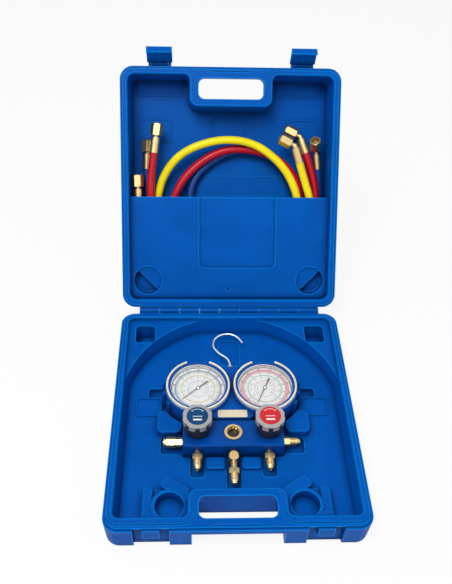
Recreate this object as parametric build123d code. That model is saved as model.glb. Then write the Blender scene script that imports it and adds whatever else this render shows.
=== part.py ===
"""Refrigerant manifold gauge set in its carrying case, lid open.

Millimetres, +Z up, +X to the right, +Y to the hinge. The origin is the middle of the face that
the case rests on. The lid and all that it carries are drawn shut, in the same axes, and are then
turned about the hinge to the open rest pose by opened().
"""
from build123d import *
from math import atan2, cos, degrees, pi, radians, sin, tan
import os

# ---- case ---------------------------------------------------------------------------------
case_w = 330.0            # outside, at the parting plane
case_d = 361.0
case_corner = 20.0
base_h = 41.5
lid_h = 61.0
shell_draft = 3.0         # degrees
shell_edge = 5.0          # round at the outer bottom edges
part_gap = 0.3            # between the two rims when shut
lid_open = 125.3          # degrees from shut to the rest pose
rim_side = 11.2           # rim widths at the parting plane
rim_back = 9.5
rim_front = 18.5
rim_ease = 1.4            # chamfer at the rims' inner edges
rim_line = 9.0            # fine groove in the front of the rims, from their inner edge
groove_w = 1.2
groove_deep = 0.8
bar_groove_w = 58.0       # slot in the handle bar
bar_groove_in = 6.5       # from the case's front
rebate_w = 3.6            # outer step round both rims
rebate_h = 1.6
seam = 0.25               # play between pieces that only lie together

# ---- carrying handle, half in each shell --------------------------------------------------
grip_w = 97.0             # finger opening
grip_d = 30.0
grip_corner = 9.0
bar_d = 16.4              # handle bar, front to back
bar_h = 10.0              # its share of each shell
yoke_w = 123.0            # rim round the opening
yoke_wall = 10.5
yoke_corner = 12.0
yoke_flare = 9.0          # where the yoke's sides meet the front rim
bar_under_w = 114.0       # where the shell is cut away under the bar

# ---- tray in the base ---------------------------------------------------------------------
tray_floor = 12.0
tray_draft = 12.0         # degrees
well_floor = 4.5          # what the manifold lies on
ring_in = 13.0            # round room in the tray for coiled hoses, from the case's sides
ring_y = 20.0
shelf_top = 36.0          # back corner shelves
pocket_in = 37.0          # corner pockets, from the case's sides and back
pocket_back = 39.5
pocket_w = 29.0
pocket_d = 34.0
pocket_floor = 9.0
pad_top = 24.0
pad_in = 71.0             # pads at both ends of the valve block
pad_out = 105.0
pad_front = -28.0
pad_round = 2.0           # soft upper edges of pads and ridges
pad_back = 9.0
saddle_w = 26.0           # pads between the front ports
saddle_x = 24.0
saddle_front = -80.0
saddle_back = -61.5
saddle_top = 16.0
port_bed_front = -90.5    # beds of the front ports
tee_bed_front = -111.0
notch_w = 20.0            # finger notches beside the gauges
notch_d = 16.0
notch_x = 109.5
notch_y = 47.3
frame_w = 35.0            # outlines in the tray's floor in front of the notches
frame_d = 30.0
frame_x = 118.5
frame_y = 22.8
neck_w = 44.0             # room for the hook's ferrule
neck_back = 96.0
loop_w = 30.0             # shallow room under the hook's loop
loop_front = 100.0
loop_back = 147.0
loop_deep = 1.5
cup_in = 37.0             # round wells beside the handle, from the finger opening
cup_front = 41.5          # and from the case's front
cup_r = 18.5
cup_wall = 5.0
cup_top = 28.0
ridge_r = 9.0             # finger ridge behind each round well
ridge_top = 27.0
block_w = 13.0            # raised block outside each round well
block_out = 34.0          # its outer face, from the well's middle
block_back = 27.5
block_top = 26.0
web_top = 20.0            # low web between block and ridge

# ---- hinge and latches --------------------------------------------------------------------
hinge_out = 5.0           # hinge axis behind the rims
knuckle_r = 4.0
hinge_w = 278.0
knuckles = 9
knuckle_gap = 0.4
hinge_pin_r = 1.5
pin_fit = 0.05            # radial running clearance of every pin
latch_in = 59.0           # the latches' middles, from the case's sides
latch_w = 37.4
latch_neck = 33.6
latch_t = 2.6
latch_drop = 32.2         # pivot to the tip
latch_up = 10.0           # pivot above the parting plane when shut
latch_out = 3.6           # pivot in front of the shells
latch_pin_r = 1.25
latch_barrel_r = 3.0
latch_lug_w = 4.0
latch_lip = 6.5
latch_rest = 34.5         # degrees swung out at rest
catch_room_w = 44.0
catch_room_d = 8.0
catch_w = 21.0
catch_h = 19.5
catch_lip = 1.6

# ---- lid inside ---------------------------------------------------------------------------
lid_floor = 58.0          # depth of the inside below the rim
lid_draft = 3.0
lid_rim_back = 11.6       # rim widths of the lid
lid_rim_front = 11.0
lid_corner = 11.0
panel_face = 14.0         # pocket panel below the rim
panel_t = 3.0
panel_low = 20.0
panel_high = 174.6
panel_step = 1.8          # shallow recess in the panel
panel_step_w = 119.0
panel_step_x = 12.0
panel_step_low = 65.0
panel_cup_in = 38.5       # round cups that stand on the lid's floor, from the case's sides
panel_cup_at = 45.0
panel_cup_r = 23.4
panel_cup_t = 2.0
panel_cup_drop = 2.5      # raised half in each cup, below the panel's face
dimple_r = 3.2
dimple_at = 31.8
floor_frame_at = 277.0    # fine outlines in the lid's floor, from the hinge
floor_frame_d = 34.0
floor_frames = {"left": 48.0, "middle": 50.0, "right": 49.0}   # their widths
floor_frame_left = 49.0   # their middles, from the case's sides and from its middle
floor_frame_mid = -1.0
floor_frame_right = 50.0
upper_frame_in = 57.0     # outlines in the upper corners, from the case's sides and front
upper_frame_front = 25.0
upper_frame_w = 68.0
upper_frame_d = 22.0
strip_low = 177.0         # long bare field between them and the panel
strip_high = 206.0
strip_w = 184.0
strip_x = -8.0

# ---- valve block --------------------------------------------------------------------------
mid_x = -2.0              # the manifold lies a little left of the middle
body_w = 135.0
body_d = 40.0
body_h = 32.0
body_y = -38.0            # its middle
body_edge = 2.0
port_dx = 48.0            # front ports, knobs and valves from the middle
port_z = well_floor + body_h / 2
side_port_y = -42.0
gallery_r = 3.0
valve_y = -32.0
piston_r = 6.0
piston_h = 10.0
piston_travel = 2.0
piston_seat = 9.0         # above the block's underside
bonnet_r = 9.0
bonnet_in = 7.0
bonnet_out = 2.0
stem_r = 3.0

# ---- knobs --------------------------------------------------------------------------------
knob_h = 29.0
knob_gap = 1.0            # above the block
knob_low_r = 16.5
knob_top_r = 18.2
crown_r = 18.8            # ring on the top, with lobes that hang over the grip
crown_ring_h = 3.5
crown_lobe = 0.9          # how far a lobe stands out
crown_lobe_w = 8.6
crown_bite = 3.0          # how deep the lobes lie in the grip
crown_lobes = 8
crown_h = 9.0
cap_r = 14.2
cap_t = 1.6
cap_proud = 0.5

# ---- sight glass --------------------------------------------------------------------------
sight_y = -37.5
sight_r = 12.0
sight_bore = 8.6
sight_proud = 1.6
sight_deep = 11.0
sight_glass_t = 3.0
sight_notches = 12

# ---- gauges -------------------------------------------------------------------------------
gauge_dx = 47.0
gauge_y = 34.5
gauge_r = 39.0            # steel case
gauge_low = 11.0
gauge_high = 44.0
gauge_wall = 1.5
bezel_r = 40.3
bezel_in = 37.4
bezel_low = 38.0
bezel_high = 46.0
dial_r = 37.0
dial_z = 39.0
dial_t = 0.8
glass_t = 1.6
glass_z = 43.6
needle_z = 41.0
needle_t = 0.5
needle_tip = 29.0
needle_tail = 18.0
hub_r = 2.6
low_rest = 221.0          # needle directions from +X at no pressure
high_rest = 246.0
stem_w = 14.0             # square of the gauge's connection
arbor_r = 0.8
gear_m = 0.4              # module of the movement
pinion_n = 10
wheel_n = 70              # teeth that the sector would have as a whole wheel
sector_teeth = 11
gear_t = 2.0
gear_z = 26.0
plate_t = 1.2
plate_low = 20.0
plate_high = 32.0
tube_r = 29.5             # Bourdon tube, centreline
tube_w = 3.0
tube_h = 7.0
tube_z = 25.0
tube_sweep = 240.0
tube_edge = 1.2
socket_face = 26.0        # inner face of the socket block, from the gauge's middle

# ---- rubber boot --------------------------------------------------------------------------
boot_r = 46.3
boot_low = 9.0
boot_high = 45.0
boot_lip_r = 44.6
lip_in = 38.6             # rubber lip that holds each gauge's bezel
lip_out = 41.5
lip_top = 47.6
trim_in = 41.6
trim_h = 5.0
trim_gap = 22.0           # degrees each side of the back
rib_n = 4
rib_w = 7.0
rib_out = 3.6
bridge_w = 56.0
bridge_front = -16.5
bridge_back = 62.0
bridge_top = 40.0
label_w = 40.0
label_d = 12.0
label_y = -9.6
label_t = 0.7

# ---- hook ---------------------------------------------------------------------------------
hook_z = 28.0
hook_wire_r = 1.5
hook_shank_y = 70.0
hook_lead = 8.0           # straight wire past the ferrule
hook_bends = [(-4, 30), (-17, 40), (-24.5, 53), (-23, 67), (-13, 76.5), (1, 79), (13, 73), (20.5, 60)]
ferrule_r = 4.0
ferrule_l = 13.0          # half its length
collar_r = 2.7            # collars that hold the wire endways
collar_l = 2.0

# ---- brass ports --------------------------------------------------------------------------
flare_r = 5.55            # 7/16-20 male flare
flare_bore = 2.2
hex_af = 12.7
port_hex_l = 8.0
port_thread_l = 9.5
port_nose_l = 4.5
port_neck_r = 4.6
port_neck_l = 4.0
core_in = 8.0             # depressor pin's body, back from the nose
core_pin_r = 0.7
core_out = 2.5
cap_af = 13.6
cap_l = 14.0
tee_r = 7.0
tee_y = -67.5
tee_low = 10.0
tee_high = 30.0
tee_end_y = -106.0

# ---- hoses --------------------------------------------------------------------------------
hose_r = 6.1
lane = 12.6               # from one layer of hoses to the next
nut_af = 16.5
nut_l = 19.0
nut_bore = 5.6
sleeve_r = 6.6
sleeve_l = 23.0
tail_r = 3.6              # brass tail that the nut turns on
tail_l = 8.0
elbow = 45.0              # degrees, at the bent ends
elbow_twist = {"yellow": 0.0, "red": 0.0, "blue": 80.0}   # out of the plane of the lid

# ---- derived ------------------------------------------------------------------------------
hinge_y = case_d / 2 + hinge_out
hinge_z = base_h + part_gap / 2
lid_z = base_h + part_gap                     # the lid's rim when shut
front_y = -case_d / 2
bar_groove_y = front_y + bar_groove_in
ring_r = case_w / 2 - ring_in
pocket_x = case_w / 2 - pocket_in
pocket_y = case_d / 2 - pocket_back
cup_x = grip_w / 2 + cup_in
cup_y = front_y + cup_front
block_x = cup_x + block_out
latch_x = case_w / 2 - latch_in
lid_room_low = hinge_out + lid_rim_back       # the lid's inside, from the hinge axis
lid_room_high = hinge_out + case_d - lid_rim_front
panel_cup_x = case_w / 2 - panel_cup_in
grip_y = front_y + bar_d + grip_d / 2         # middle of the finger opening
knob_z = well_floor + body_h + knob_gap
back_layer = lid_floor - hose_r - 2.5         # hose layers, as depths below the lid's rim
mid_layer = back_layer - lane
front_layer = mid_layer - lane
low_x = mid_x - gauge_dx
high_x = mid_x + gauge_dx

os.makedirs("parts", exist_ok=True)


# ---- helpers ------------------------------------------------------------------------------
def slab(sketch, low, high):
    return extrude(Plane.XY.offset(low) * sketch, amount=high - low)


def box(x0, x1, y0, y1, z0, z1):
    return Pos((x0 + x1) / 2, (y0 + y1) / 2, (z0 + z1) / 2) * Box(abs(x1 - x0), abs(y1 - y0), abs(z1 - z0))


def rod(radius, low, high, x=0.0, y=0.0):
    return Pos(x, y, (low + high) / 2) * Cylinder(radius, high - low)


def rod_x(radius, x0, x1, y, z):
    return Pos((x0 + x1) / 2, y, z) * Rot(0, 90, 0) * Cylinder(radius, x1 - x0)


def rounded(width, depth, radius, x=0.0, y=0.0):
    return Pos(x, y) * RectangleRounded(width, depth, radius)


def both(shape):
    """The shape and its mirror image across the middle plane of the case."""
    return shape + mirror(shape, about=Plane.YZ)


def opened(shape):
    """From the shut lid to the open one."""
    return shape.rotate(Axis((0, hinge_y, hinge_z), (1, 0, 0)), -lid_open)


def in_lid(x, along, depth):
    """A point of the shut lid from its place along the lid, seen from the hinge, and its depth."""
    return Vector(x, hinge_y - along, lid_z + depth)


def save(shape, name):
    export_step(shape, f"parts/{name}.step")


# ---- case base ----------------------------------------------------------------------------
def shell_block(height):
    """One outer half: a rounded block that tapers away from the parting plane at z = 0."""
    block = extrude(rounded(case_w, case_d, case_corner), amount=height, taper=shell_draft)
    return fillet(block.faces().sort_by(Axis.Z)[-1].edges(), shell_edge)


def grip_cut(sign):
    """What is cut for the handle, from the parting plane at z = 0 towards sign."""
    hole = slab(rounded(grip_w, grip_d, grip_corner, 0, grip_y), -1, 1 + lid_h)
    under = box(-bar_under_w / 2, bar_under_w / 2, front_y - 1, grip_y + grip_d / 2, bar_h, lid_h + 1)
    cut = hole + under
    return cut if sign > 0 else mirror(cut, about=Plane.XY)


def room_sketch(low_y, high_y, low_corner):
    """The inside at the rim: a rounded rectangle less the yoke round the finger opening."""
    outline = Pos(0, (low_y + high_y) / 2) * Rectangle(case_w - 2 * rim_side, high_y - low_y)
    outline = fillet(outline.vertices(), low_corner)
    yoke_top = grip_y + grip_d / 2 + yoke_wall
    yoke = Pos(0, (low_y - 10 + yoke_top) / 2) * Rectangle(yoke_w, yoke_top - low_y + 10)
    outline = outline - yoke
    inner = [v for v in outline.vertices() if abs(abs(v.X) - yoke_w / 2) < 0.01]
    outline = fillet([v for v in inner if v.Y > yoke_top - 0.01], yoke_corner)
    corners = [v for v in outline.vertices() if abs(abs(v.X) - yoke_w / 2) < 0.01 and v.Y < low_y + 0.01]
    return fillet(corners, yoke_flare)


def rim_rebate():
    """The step round the outside of a rim, on the +Z side of the parting plane."""
    whole = slab(rounded(case_w + 4, case_d + 4, case_corner + 2), -1, rebate_h)
    inside = rounded(case_w - 2 * rebate_w, case_d - 2 * rebate_w, case_corner - rebate_w)
    core = slab(inside, -2, rebate_h + 1)
    return whole - core - box(-hinge_w / 2, hinge_w / 2, case_d / 4, case_d, -2, rebate_h + 1)


def rim_grooves(sketch):
    """Fine lines in a rim's front and in the handle bar, on the +Z side of the parting plane."""
    line = offset(sketch, rim_line + groove_w) - offset(sketch, rim_line)
    front = box(-case_w, case_w, front_y - 1, grip_y, -1, groove_deep)
    lines = slab(line, -1, groove_deep) & front
    slot = Pos(mid_x, bar_groove_y) * SlotOverall(bar_groove_w, 1.5 * groove_w)
    return lines + slab(slot, -1, groove_deep)


def outline_groove(width, depth, corner, x, y):
    """Sketch of a fine closed line."""
    return rounded(width, depth, corner, x, y) - rounded(width - 2 * groove_w, depth - 2 * groove_w,
                                                         corner - groove_w, x, y)


def knuckle_row(first):
    """Every other knuckle along the hinge axis."""
    pitch = hinge_w / knuckles
    row = Part()
    for n in range(first, knuckles, 2):
        x0 = -hinge_w / 2 + n * pitch + knuckle_gap / 2
        row += rod_x(knuckle_r, x0, x0 + pitch - knuckle_gap, hinge_y, hinge_z)
    return row


def knuckle_webs(first, low, high):
    """What joins those knuckles to the wall of their shell."""
    pitch = hinge_w / knuckles
    webs = Part()
    for n in range(first, knuckles, 2):
        x0 = -hinge_w / 2 + n * pitch + knuckle_gap / 2
        webs += box(x0, x0 + pitch - knuckle_gap, hinge_y - hinge_out - 4, hinge_y, low, high)
    return webs


def hinge_bore():
    return rod_x(hinge_pin_r + pin_fit, -hinge_w, hinge_w, hinge_y, hinge_z)


def hinge_relief(first):
    """Room round the other shell's knuckles."""
    pitch = hinge_w / knuckles
    room = Part()
    for n in range(first, knuckles, 2):
        x0 = -hinge_w / 2 + n * pitch - knuckle_gap / 2
        room += rod_x(knuckle_r + knuckle_gap, x0, x0 + pitch + knuckle_gap, hinge_y, hinge_z)
    return room


def manifold_well():
    """Outline of the sunk place for the manifold."""
    play = 2.5
    bed = rounded(body_w + 2 * play, body_d + 2 * play, 5, mid_x, body_y)
    bed += rounded(bridge_w, bridge_back - body_y, 5, mid_x, (bridge_back + body_y) / 2)
    bed += rounded(neck_w, neck_back - gauge_y, 8, mid_x, (neck_back + gauge_y) / 2)
    for x in (low_x, high_x):
        bed += Pos(x, gauge_y) * Circle(boot_r + rib_out + play)
    bed += rounded(2 * notch_x + notch_w, notch_d, 4, 0, notch_y)
    bed += rounded(2 * (body_w / 2 + 30), 26, 5, mid_x, side_port_y)
    front = body_y - body_d / 2 + 5
    for dx, end in ((-port_dx, port_bed_front), (0, tee_bed_front), (port_dx, port_bed_front)):
        bed += rounded(19, front - end, 5, mid_x + dx, (front + end) / 2)
    return bed


def tray_room():
    """Everything that is taken out of the base for the tray."""
    back = case_d / 2 - rim_back
    front = front_y + rim_front
    room = extrude(Plane.XY.offset(base_h) * room_sketch(front, back, 9), amount=-(base_h - tray_floor),
                   taper=tray_draft)
    room += slab(room_sketch(front + 8, back - 8, 6) & rounded(case_w - 2 * rim_side - 16, case_d, 6),
                 base_h - 1, base_h + 1)
    ring = extrude(Pos(0, ring_y, tray_floor) * Circle(ring_r), amount=shelf_top - tray_floor + 1, taper=-9)
    shelf = box(-case_w, case_w, ring_y + 20, case_d, tray_floor - 1, shelf_top) - ring
    ease = extrude(Plane.XY.offset(base_h - rim_ease) * room_sketch(front, back, 9), amount=rim_ease + 0.1,
                   taper=-45)
    return room - shelf + ease


def soft(solid):
    """The solid with its upper edges rounded."""
    return fillet(solid.faces().sort_by(Axis.Z)[-1].edges(), pad_round)


def front_wells():
    """Raised ring, ridge and block beside the handle, and the land that joins them."""
    low = tray_floor - 2
    ring = soft(rod(cup_r + cup_wall, low, cup_top, cup_x, cup_y))
    land = soft(box(grip_w / 2, cup_x, front_y, cup_y + cup_r - 2, low, cup_top))
    land += soft(box(cup_x, block_x, front_y, cup_y - cup_r / 2, low, cup_top))
    a = Vector(cup_x + 2.5, cup_y + 32)
    b = Vector(cup_x - 17, cup_y + 20)
    span = b - a
    ridge = SlotCenterToCenter(span.length, 2 * ridge_r)
    ridge = Pos((a.X + b.X) / 2, (a.Y + b.Y) / 2) * Rot(0, 0, degrees(atan2(span.Y, span.X))) * ridge
    back = cup_y + block_back
    block = rounded(block_w, back - front_y, 5, block_x - block_w / 2, (back + front_y) / 2)
    web = box(cup_x, block_x - 3, cup_y, cup_y + 27, low, web_top)
    return ring + land + soft(slab(ridge, low, ridge_top)) + soft(slab(block, low, block_top)) + web


def case_base():
    base = mirror(shell_block(base_h), about=Plane.XY).translate((0, 0, base_h))
    base -= tray_room()
    back = case_d / 2 - rim_back
    front = front_y + rim_front
    keep = slab(room_sketch(front - 4, back + 4, 9), tray_floor - 2, base_h)
    pads = soft(slab(rounded(pad_out - pad_in, pad_back - pad_front, 9, (pad_out + pad_in) / 2,
                             (pad_back + pad_front) / 2), tray_floor - 2, pad_top))
    base += (both(front_wells() + pads)) & keep
    base -= slab(manifold_well(), well_floor, base_h)
    base -= slab(rounded(loop_w, loop_back - loop_front, 8, mid_x, (loop_back + loop_front) / 2),
                 tray_floor - loop_deep, tray_floor + 1)
    frame = outline_groove(frame_w, frame_d, 3, frame_x, frame_y)
    base -= both(slab(frame, tray_floor - groove_deep, tray_floor + 1))
    for x in (mid_x - saddle_x, mid_x + saddle_x):
        saddle = rounded(saddle_w, saddle_back - saddle_front, 4, x, (saddle_front + saddle_back) / 2)
        base += soft(slab(saddle, well_floor - 1, saddle_top))
    base -= both(rod(cup_r, tray_floor, base_h + 1, cup_x, cup_y) & keep)
    base -= both(slab(rounded(pocket_w, pocket_d, 6, pocket_x, pocket_y), pocket_floor, base_h + 1))
    base -= grip_cut(-1).translate((0, 0, base_h))
    grooves = rim_rebate() + rim_grooves(room_sketch(front, back, 9))
    base -= mirror(grooves, about=Plane.XY).translate((0, 0, base_h))
    for side in (-1, 1):
        room = box(-catch_room_w / 2, catch_room_w / 2, front_y - 5, front_y + catch_room_d,
                   -1, base_h - catch_lip)
        room -= box(-catch_w / 2, catch_w / 2, front_y + 0.6, front_y + catch_room_d + 1,
                    base_h - catch_h, base_h)
        base -= room.translate((side * latch_x, 0, 0))
    base -= hinge_relief(1)
    base += knuckle_webs(0, hinge_z - knuckle_r, base_h) + knuckle_row(0)
    return base - hinge_bore()


def hinge_pin():
    return rod_x(hinge_pin_r, -hinge_w / 2 + 1, hinge_w / 2 - 1, hinge_y, hinge_z)


# ---- lid, drawn shut -----------------------------------------------------------------------
def lid_sketch():
    return room_sketch(hinge_y - lid_room_high, hinge_y - lid_room_low, lid_corner)


def lid_room():
    sketch = lid_sketch()
    ease = extrude(Plane.XY.offset(rim_ease) * sketch, amount=-rim_ease - 0.1, taper=-45)
    return extrude(sketch, amount=lid_floor, taper=lid_draft) + ease


def lid_frames():
    """Fine outlines and a long bare field in the lid's floor."""
    lines = Sketch()
    places = {"left": floor_frame_left - case_w / 2, "middle": floor_frame_mid,
              "right": case_w / 2 - floor_frame_right}
    for name, x in places.items():
        lines += outline_groove(floor_frames[name], floor_frame_d, 3, x, hinge_y - floor_frame_at)
    for side in (-1, 1):
        lines += outline_groove(upper_frame_w, upper_frame_d, 3, side * (case_w / 2 - upper_frame_in),
                                front_y + upper_frame_front)
    field = rounded(strip_w, strip_high - strip_low, 4, strip_x, hinge_y - (strip_low + strip_high) / 2)
    return slab(lines + field, lid_floor - 1, lid_floor + groove_deep)


def latch_lug(side):
    """Lugs on the lid's front that hold one latch's pin."""
    lug = Part()
    for end in (-1, 1):
        x = side * latch_x + end * (latch_neck / 2 - latch_lug_w / 2)
        lug += rod_x(latch_barrel_r, x - latch_lug_w / 2, x + latch_lug_w / 2, front_y - latch_out, latch_up)
        lug += box(x - latch_lug_w / 2, x + latch_lug_w / 2, front_y - latch_out, front_y + 3,
                   latch_up - latch_barrel_r, latch_up + latch_barrel_r)
    return lug


def case_lid():
    lid = shell_block(lid_h) - lid_room() - lid_frames() - grip_cut(1)
    lid = lid - rim_rebate() - rim_grooves(lid_sketch())
    for side in (-1, 1):
        lid += latch_lug(side)
    lid -= rod_x(latch_pin_r, -case_w, case_w, front_y - latch_out, latch_up)
    lid = lid.translate((0, 0, lid_z)) - hinge_relief(0)
    lid += knuckle_webs(1, lid_z, hinge_z + knuckle_r) + knuckle_row(1)
    return lid - hinge_bore()


def latch_pins():
    pins = Part()
    half = latch_neck / 2
    for x in (-latch_x, latch_x):
        pins += rod_x(latch_pin_r, x - half, x + half, front_y - latch_out, lid_z + latch_up)
    return pins


def latch(side):
    """A flap with a lip at its tip, hung from the pin between the lugs; drawn locked."""
    inner = latch_neck / 2 - latch_lug_w - seam
    y = front_y - latch_out
    z = lid_z + latch_up
    tip = z - latch_drop
    flap = box(-latch_w / 2, latch_w / 2, y - latch_t, y, tip, z - latch_barrel_r - 1)
    flap += box(-inner, inner, y - latch_t, y, z - latch_barrel_r - 2, z)
    flap += rod_x(latch_barrel_r, -inner, inner, y, z)
    flap += box(-latch_w / 2, latch_w / 2, y - latch_t - 1.2, y + latch_lip, tip, tip + 2.2)
    flap -= rod_x(latch_pin_r + pin_fit, -latch_w, latch_w, y, z)
    flap = flap.translate((side * latch_x, 0, 0))
    return flap.rotate(Axis((0, y, z), (1, 0, 0)), -latch_rest)


def panel_cup(shrink):
    """A round cup that reaches from the panel to the lid's floor."""
    top = lid_floor - seam - (panel_cup_t if shrink else 0)
    return rod(panel_cup_r - (panel_cup_t if shrink else 0), panel_face, top)


def lid_pocket_panel():
    width = case_w - 2 * rim_side - 2 * (panel_face + panel_t) * tan(radians(lid_draft)) - 2 * seam
    mid = hinge_y - (panel_low + panel_high) / 2
    outline = Pos(0, mid) * Rectangle(width, panel_high - panel_low)
    outline = fillet(outline.vertices().group_by(Axis.Y)[-1], lid_corner)
    outline = fillet(outline.vertices().group_by(Axis.Y)[0], 1.5)
    sheet = slab(outline, panel_face, panel_face + panel_t)
    step_mid = hinge_y - (panel_step_low + panel_high) / 2
    sheet -= slab(rounded(panel_step_w, panel_high - panel_step_low + 20, 12, panel_step_x, step_mid - 10),
                  panel_face - 1, panel_face + panel_step)
    sheet -= Pos(mid_x, hinge_y - dimple_at, panel_face - dimple_r / 2) * Sphere(dimple_r)
    for side in (-1, 1):
        at = Pos(side * panel_cup_x, hinge_y - panel_cup_at)
        sheet += at * panel_cup(False)
        sheet -= at * rod(panel_cup_r - panel_cup_t, panel_face - 1, lid_floor - seam - panel_cup_t)
        wedge = Rot(0, 0, side * 45) * Pos(0, -panel_cup_r / 2 + 2, panel_face + 10)
        wedge *= Box(2 * panel_cup_r, panel_cup_r + 4, 12)
        half = wedge & rod(panel_cup_r - 0.5, panel_face + panel_cup_drop, lid_floor / 2)
        sheet += at * half
    return sheet.translate((0, 0, lid_z))


# ---- valve block ---------------------------------------------------------------------------
def manifold_block():
    top = well_floor + body_h
    block = Pos(mid_x, body_y, well_floor + body_h / 2) * Box(body_w, body_d, body_h)
    block = chamfer(block.edges().filter_by(Axis.X).group_by(Axis.Y)[0], body_edge)
    for x in (mid_x - port_dx, mid_x + port_dx):
        block -= rod(piston_r + pin_fit, well_floor + piston_seat, top, x, valve_y)
        block -= rod(bonnet_r, top - bonnet_in, top + 1, x, valve_y)
        block -= rod(gallery_r, well_floor + piston_seat - 4, top - bonnet_in, x, valve_y)
        front = body_y - body_d / 2
        block -= Pos(x, (front + valve_y) / 2, port_z) * Rot(90, 0, 0) * Cylinder(gallery_r, valve_y - front)
    block -= rod_x(gallery_r, mid_x - body_w / 2 - 1, mid_x + body_w / 2 + 1, side_port_y, port_z)
    block -= rod(sight_r, top - sight_deep, top + 1, mid_x, sight_y)
    back = body_y + body_d / 2
    for x in (low_x, high_x):
        block -= Pos(x, back - 5, port_z) * Rot(90, 0, 0) * Cylinder(gallery_r, 14)
    return block


def sight_glass_ring():
    top = well_floor + body_h
    ring = rod(sight_r, top - sight_deep, top + sight_proud, mid_x, sight_y)
    ring -= rod(sight_bore, top - sight_deep + 2, top + sight_proud + 1, mid_x, sight_y)
    for n in range(sight_notches):
        turn = 360 * n / sight_notches
        tooth = Pos(sight_bore, 0, top - 3.5) * Box(1.8, 2.2, 3)
        ring += Pos(mid_x, sight_y) * Rot(0, 0, turn) * tooth
    return ring


def sight_glass_lens():
    top = well_floor + body_h
    return rod(sight_bore, top - sight_deep + 2, top - sight_deep + 2 + sight_glass_t, mid_x, sight_y)


def valve_bonnets():
    top = well_floor + body_h
    pair = Part()
    for x in (mid_x - port_dx, mid_x + port_dx):
        bonnet = rod(bonnet_r, top - bonnet_in, top) + rod(bonnet_r - 1.5, top, top + bonnet_out)
        bonnet -= rod(stem_r + pin_fit, top - bonnet_in - 1, top + bonnet_out + 1)
        pair += Pos(x, valve_y) * bonnet
    return pair


def valve_piston(x):
    low = well_floor + piston_seat
    body = rod(piston_r, low, low + piston_h, x, valve_y)
    return body - rod(stem_r + pin_fit, low + 2, low + piston_h + 1, x, valve_y)


def valve_stem(x):
    low = well_floor + piston_seat + 2 + piston_travel + 0.5
    return rod(stem_r, low, knob_z + knob_h - 6, x, valve_y)


def crown_teeth(gap):
    """Lobes round the grip's top, wider and deeper by a gap for the pockets that they lie in."""
    high = knob_z + knob_h
    teeth = Part()
    for n in range(crown_lobes):
        half = crown_lobe_w / 2 + gap
        tooth = box(crown_r - crown_bite - gap, crown_r + crown_lobe + 1, -half, half, high - crown_h - gap, high)
        teeth += Rot(0, 0, 360 / crown_lobes * (n + 0.5)) * tooth
    return teeth


def knob_body(x):
    """Tapered grip with hollow underside, shallow flutes and pockets for the crown's lobes."""
    high = knob_z + knob_h - crown_ring_h
    body = revolve(Plane.XZ * make_face(Polyline((0, knob_z), (knob_low_r - 1.5, knob_z),
                                                 (knob_low_r, knob_z + 1.5), (knob_top_r, high),
                                                 (0, high), close=True)), Axis.Z)
    for n in range(crown_lobes):
        flute = Rot(0, 0, 360 / crown_lobes * n) * Pos(knob_top_r + 4.3, 0, knob_z + knob_h / 2)
        body -= flute * Cylinder(5.6, knob_h + 10)
    body -= crown_teeth(pin_fit)
    body -= rod(bonnet_r + 0.5, knob_z - 1, knob_z + 3)
    body -= rod(stem_r, knob_z - 1, knob_z + knob_h - 6)
    return body.translate((x, valve_y, 0))


def knob_crown(x):
    """Ring on the top with lobes that hang over the grip."""
    high = knob_z + knob_h
    ring = rod(crown_r, high - crown_ring_h, high)
    ring += crown_teeth(0) & rod(crown_r + crown_lobe, high - crown_h, high)
    ring = chamfer(ring.faces().sort_by(Axis.Z)[-1].edges(), 0.6)
    ring -= rod(cap_r, high - cap_t, high + 1)
    return ring.translate((x, valve_y, 0))


def knob_cap(x):
    high = knob_z + knob_h
    disc = rod(cap_r, high - cap_t, high + cap_proud)
    disc = chamfer(disc.edges().group_by(Axis.Z)[-1], 0.4)
    return disc.translate((x, valve_y, 0))


# ---- gauges --------------------------------------------------------------------------------
def at_gauges(shape):
    return Pos(low_x, gauge_y) * shape + Pos(high_x, gauge_y) * shape


def gauge_case():
    cup = rod(gauge_r, gauge_low, gauge_high)
    cup -= rod(gauge_r - gauge_wall, gauge_low + gauge_wall, gauge_high + 1)
    back = body_y + body_d / 2 - gauge_y
    stem = box(-stem_w / 2, stem_w / 2, back, -gauge_r + 3, port_z - stem_w / 2, port_z + stem_w / 2)
    stem += box(-4, 4, -gauge_r + 1, -socket_face, port_z - 4, tube_z + tube_h / 2 + 1)
    cup = cup + stem
    return cup - Pos(0, (back - tube_r + 4) / 2, port_z) * Rot(90, 0, 0) * Cylinder(1.5, -back - tube_r + 12)


def gauge_bezel():
    ring = rod(bezel_r, bezel_low, bezel_high) - rod(gauge_r, bezel_low - 1, glass_z)
    ring -= rod(bezel_in, bezel_low, bezel_high + 1)
    ring = chamfer(ring.faces().sort_by(Axis.Z)[-1].edges(), 0.7)
    return ring - rod(gauge_r, glass_z - 1, glass_z + glass_t)


def gauge_glass():
    return rod(gauge_r, gauge_high, glass_z + glass_t)


def gauge_dial():
    return rod(dial_r, dial_z - dial_t, dial_z) - rod(arbor_r + 0.4, dial_z - 2, dial_z + 1)


def needle(rest):
    """Thin tapered pointer with a broad tail, hub and slotted boss."""
    blade = make_face(Polyline((0, 0.9), (needle_tip - 3, 0.45), (needle_tip, 0), (needle_tip - 3, -0.45),
                               (0, -0.9), (-needle_tail + 8, -0.9), (-needle_tail, -1.7), (-needle_tail, 1.7),
                               (-needle_tail + 8, 0.9), close=True))
    pointer = slab(blade, needle_z - needle_t / 2, needle_z + needle_t / 2)
    pointer += rod(hub_r, needle_z - needle_t / 2, needle_z + 1.4)
    pointer -= rod(arbor_r, needle_z - 2, needle_z + 0.8)
    return Rot(0, 0, rest) * pointer


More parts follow.
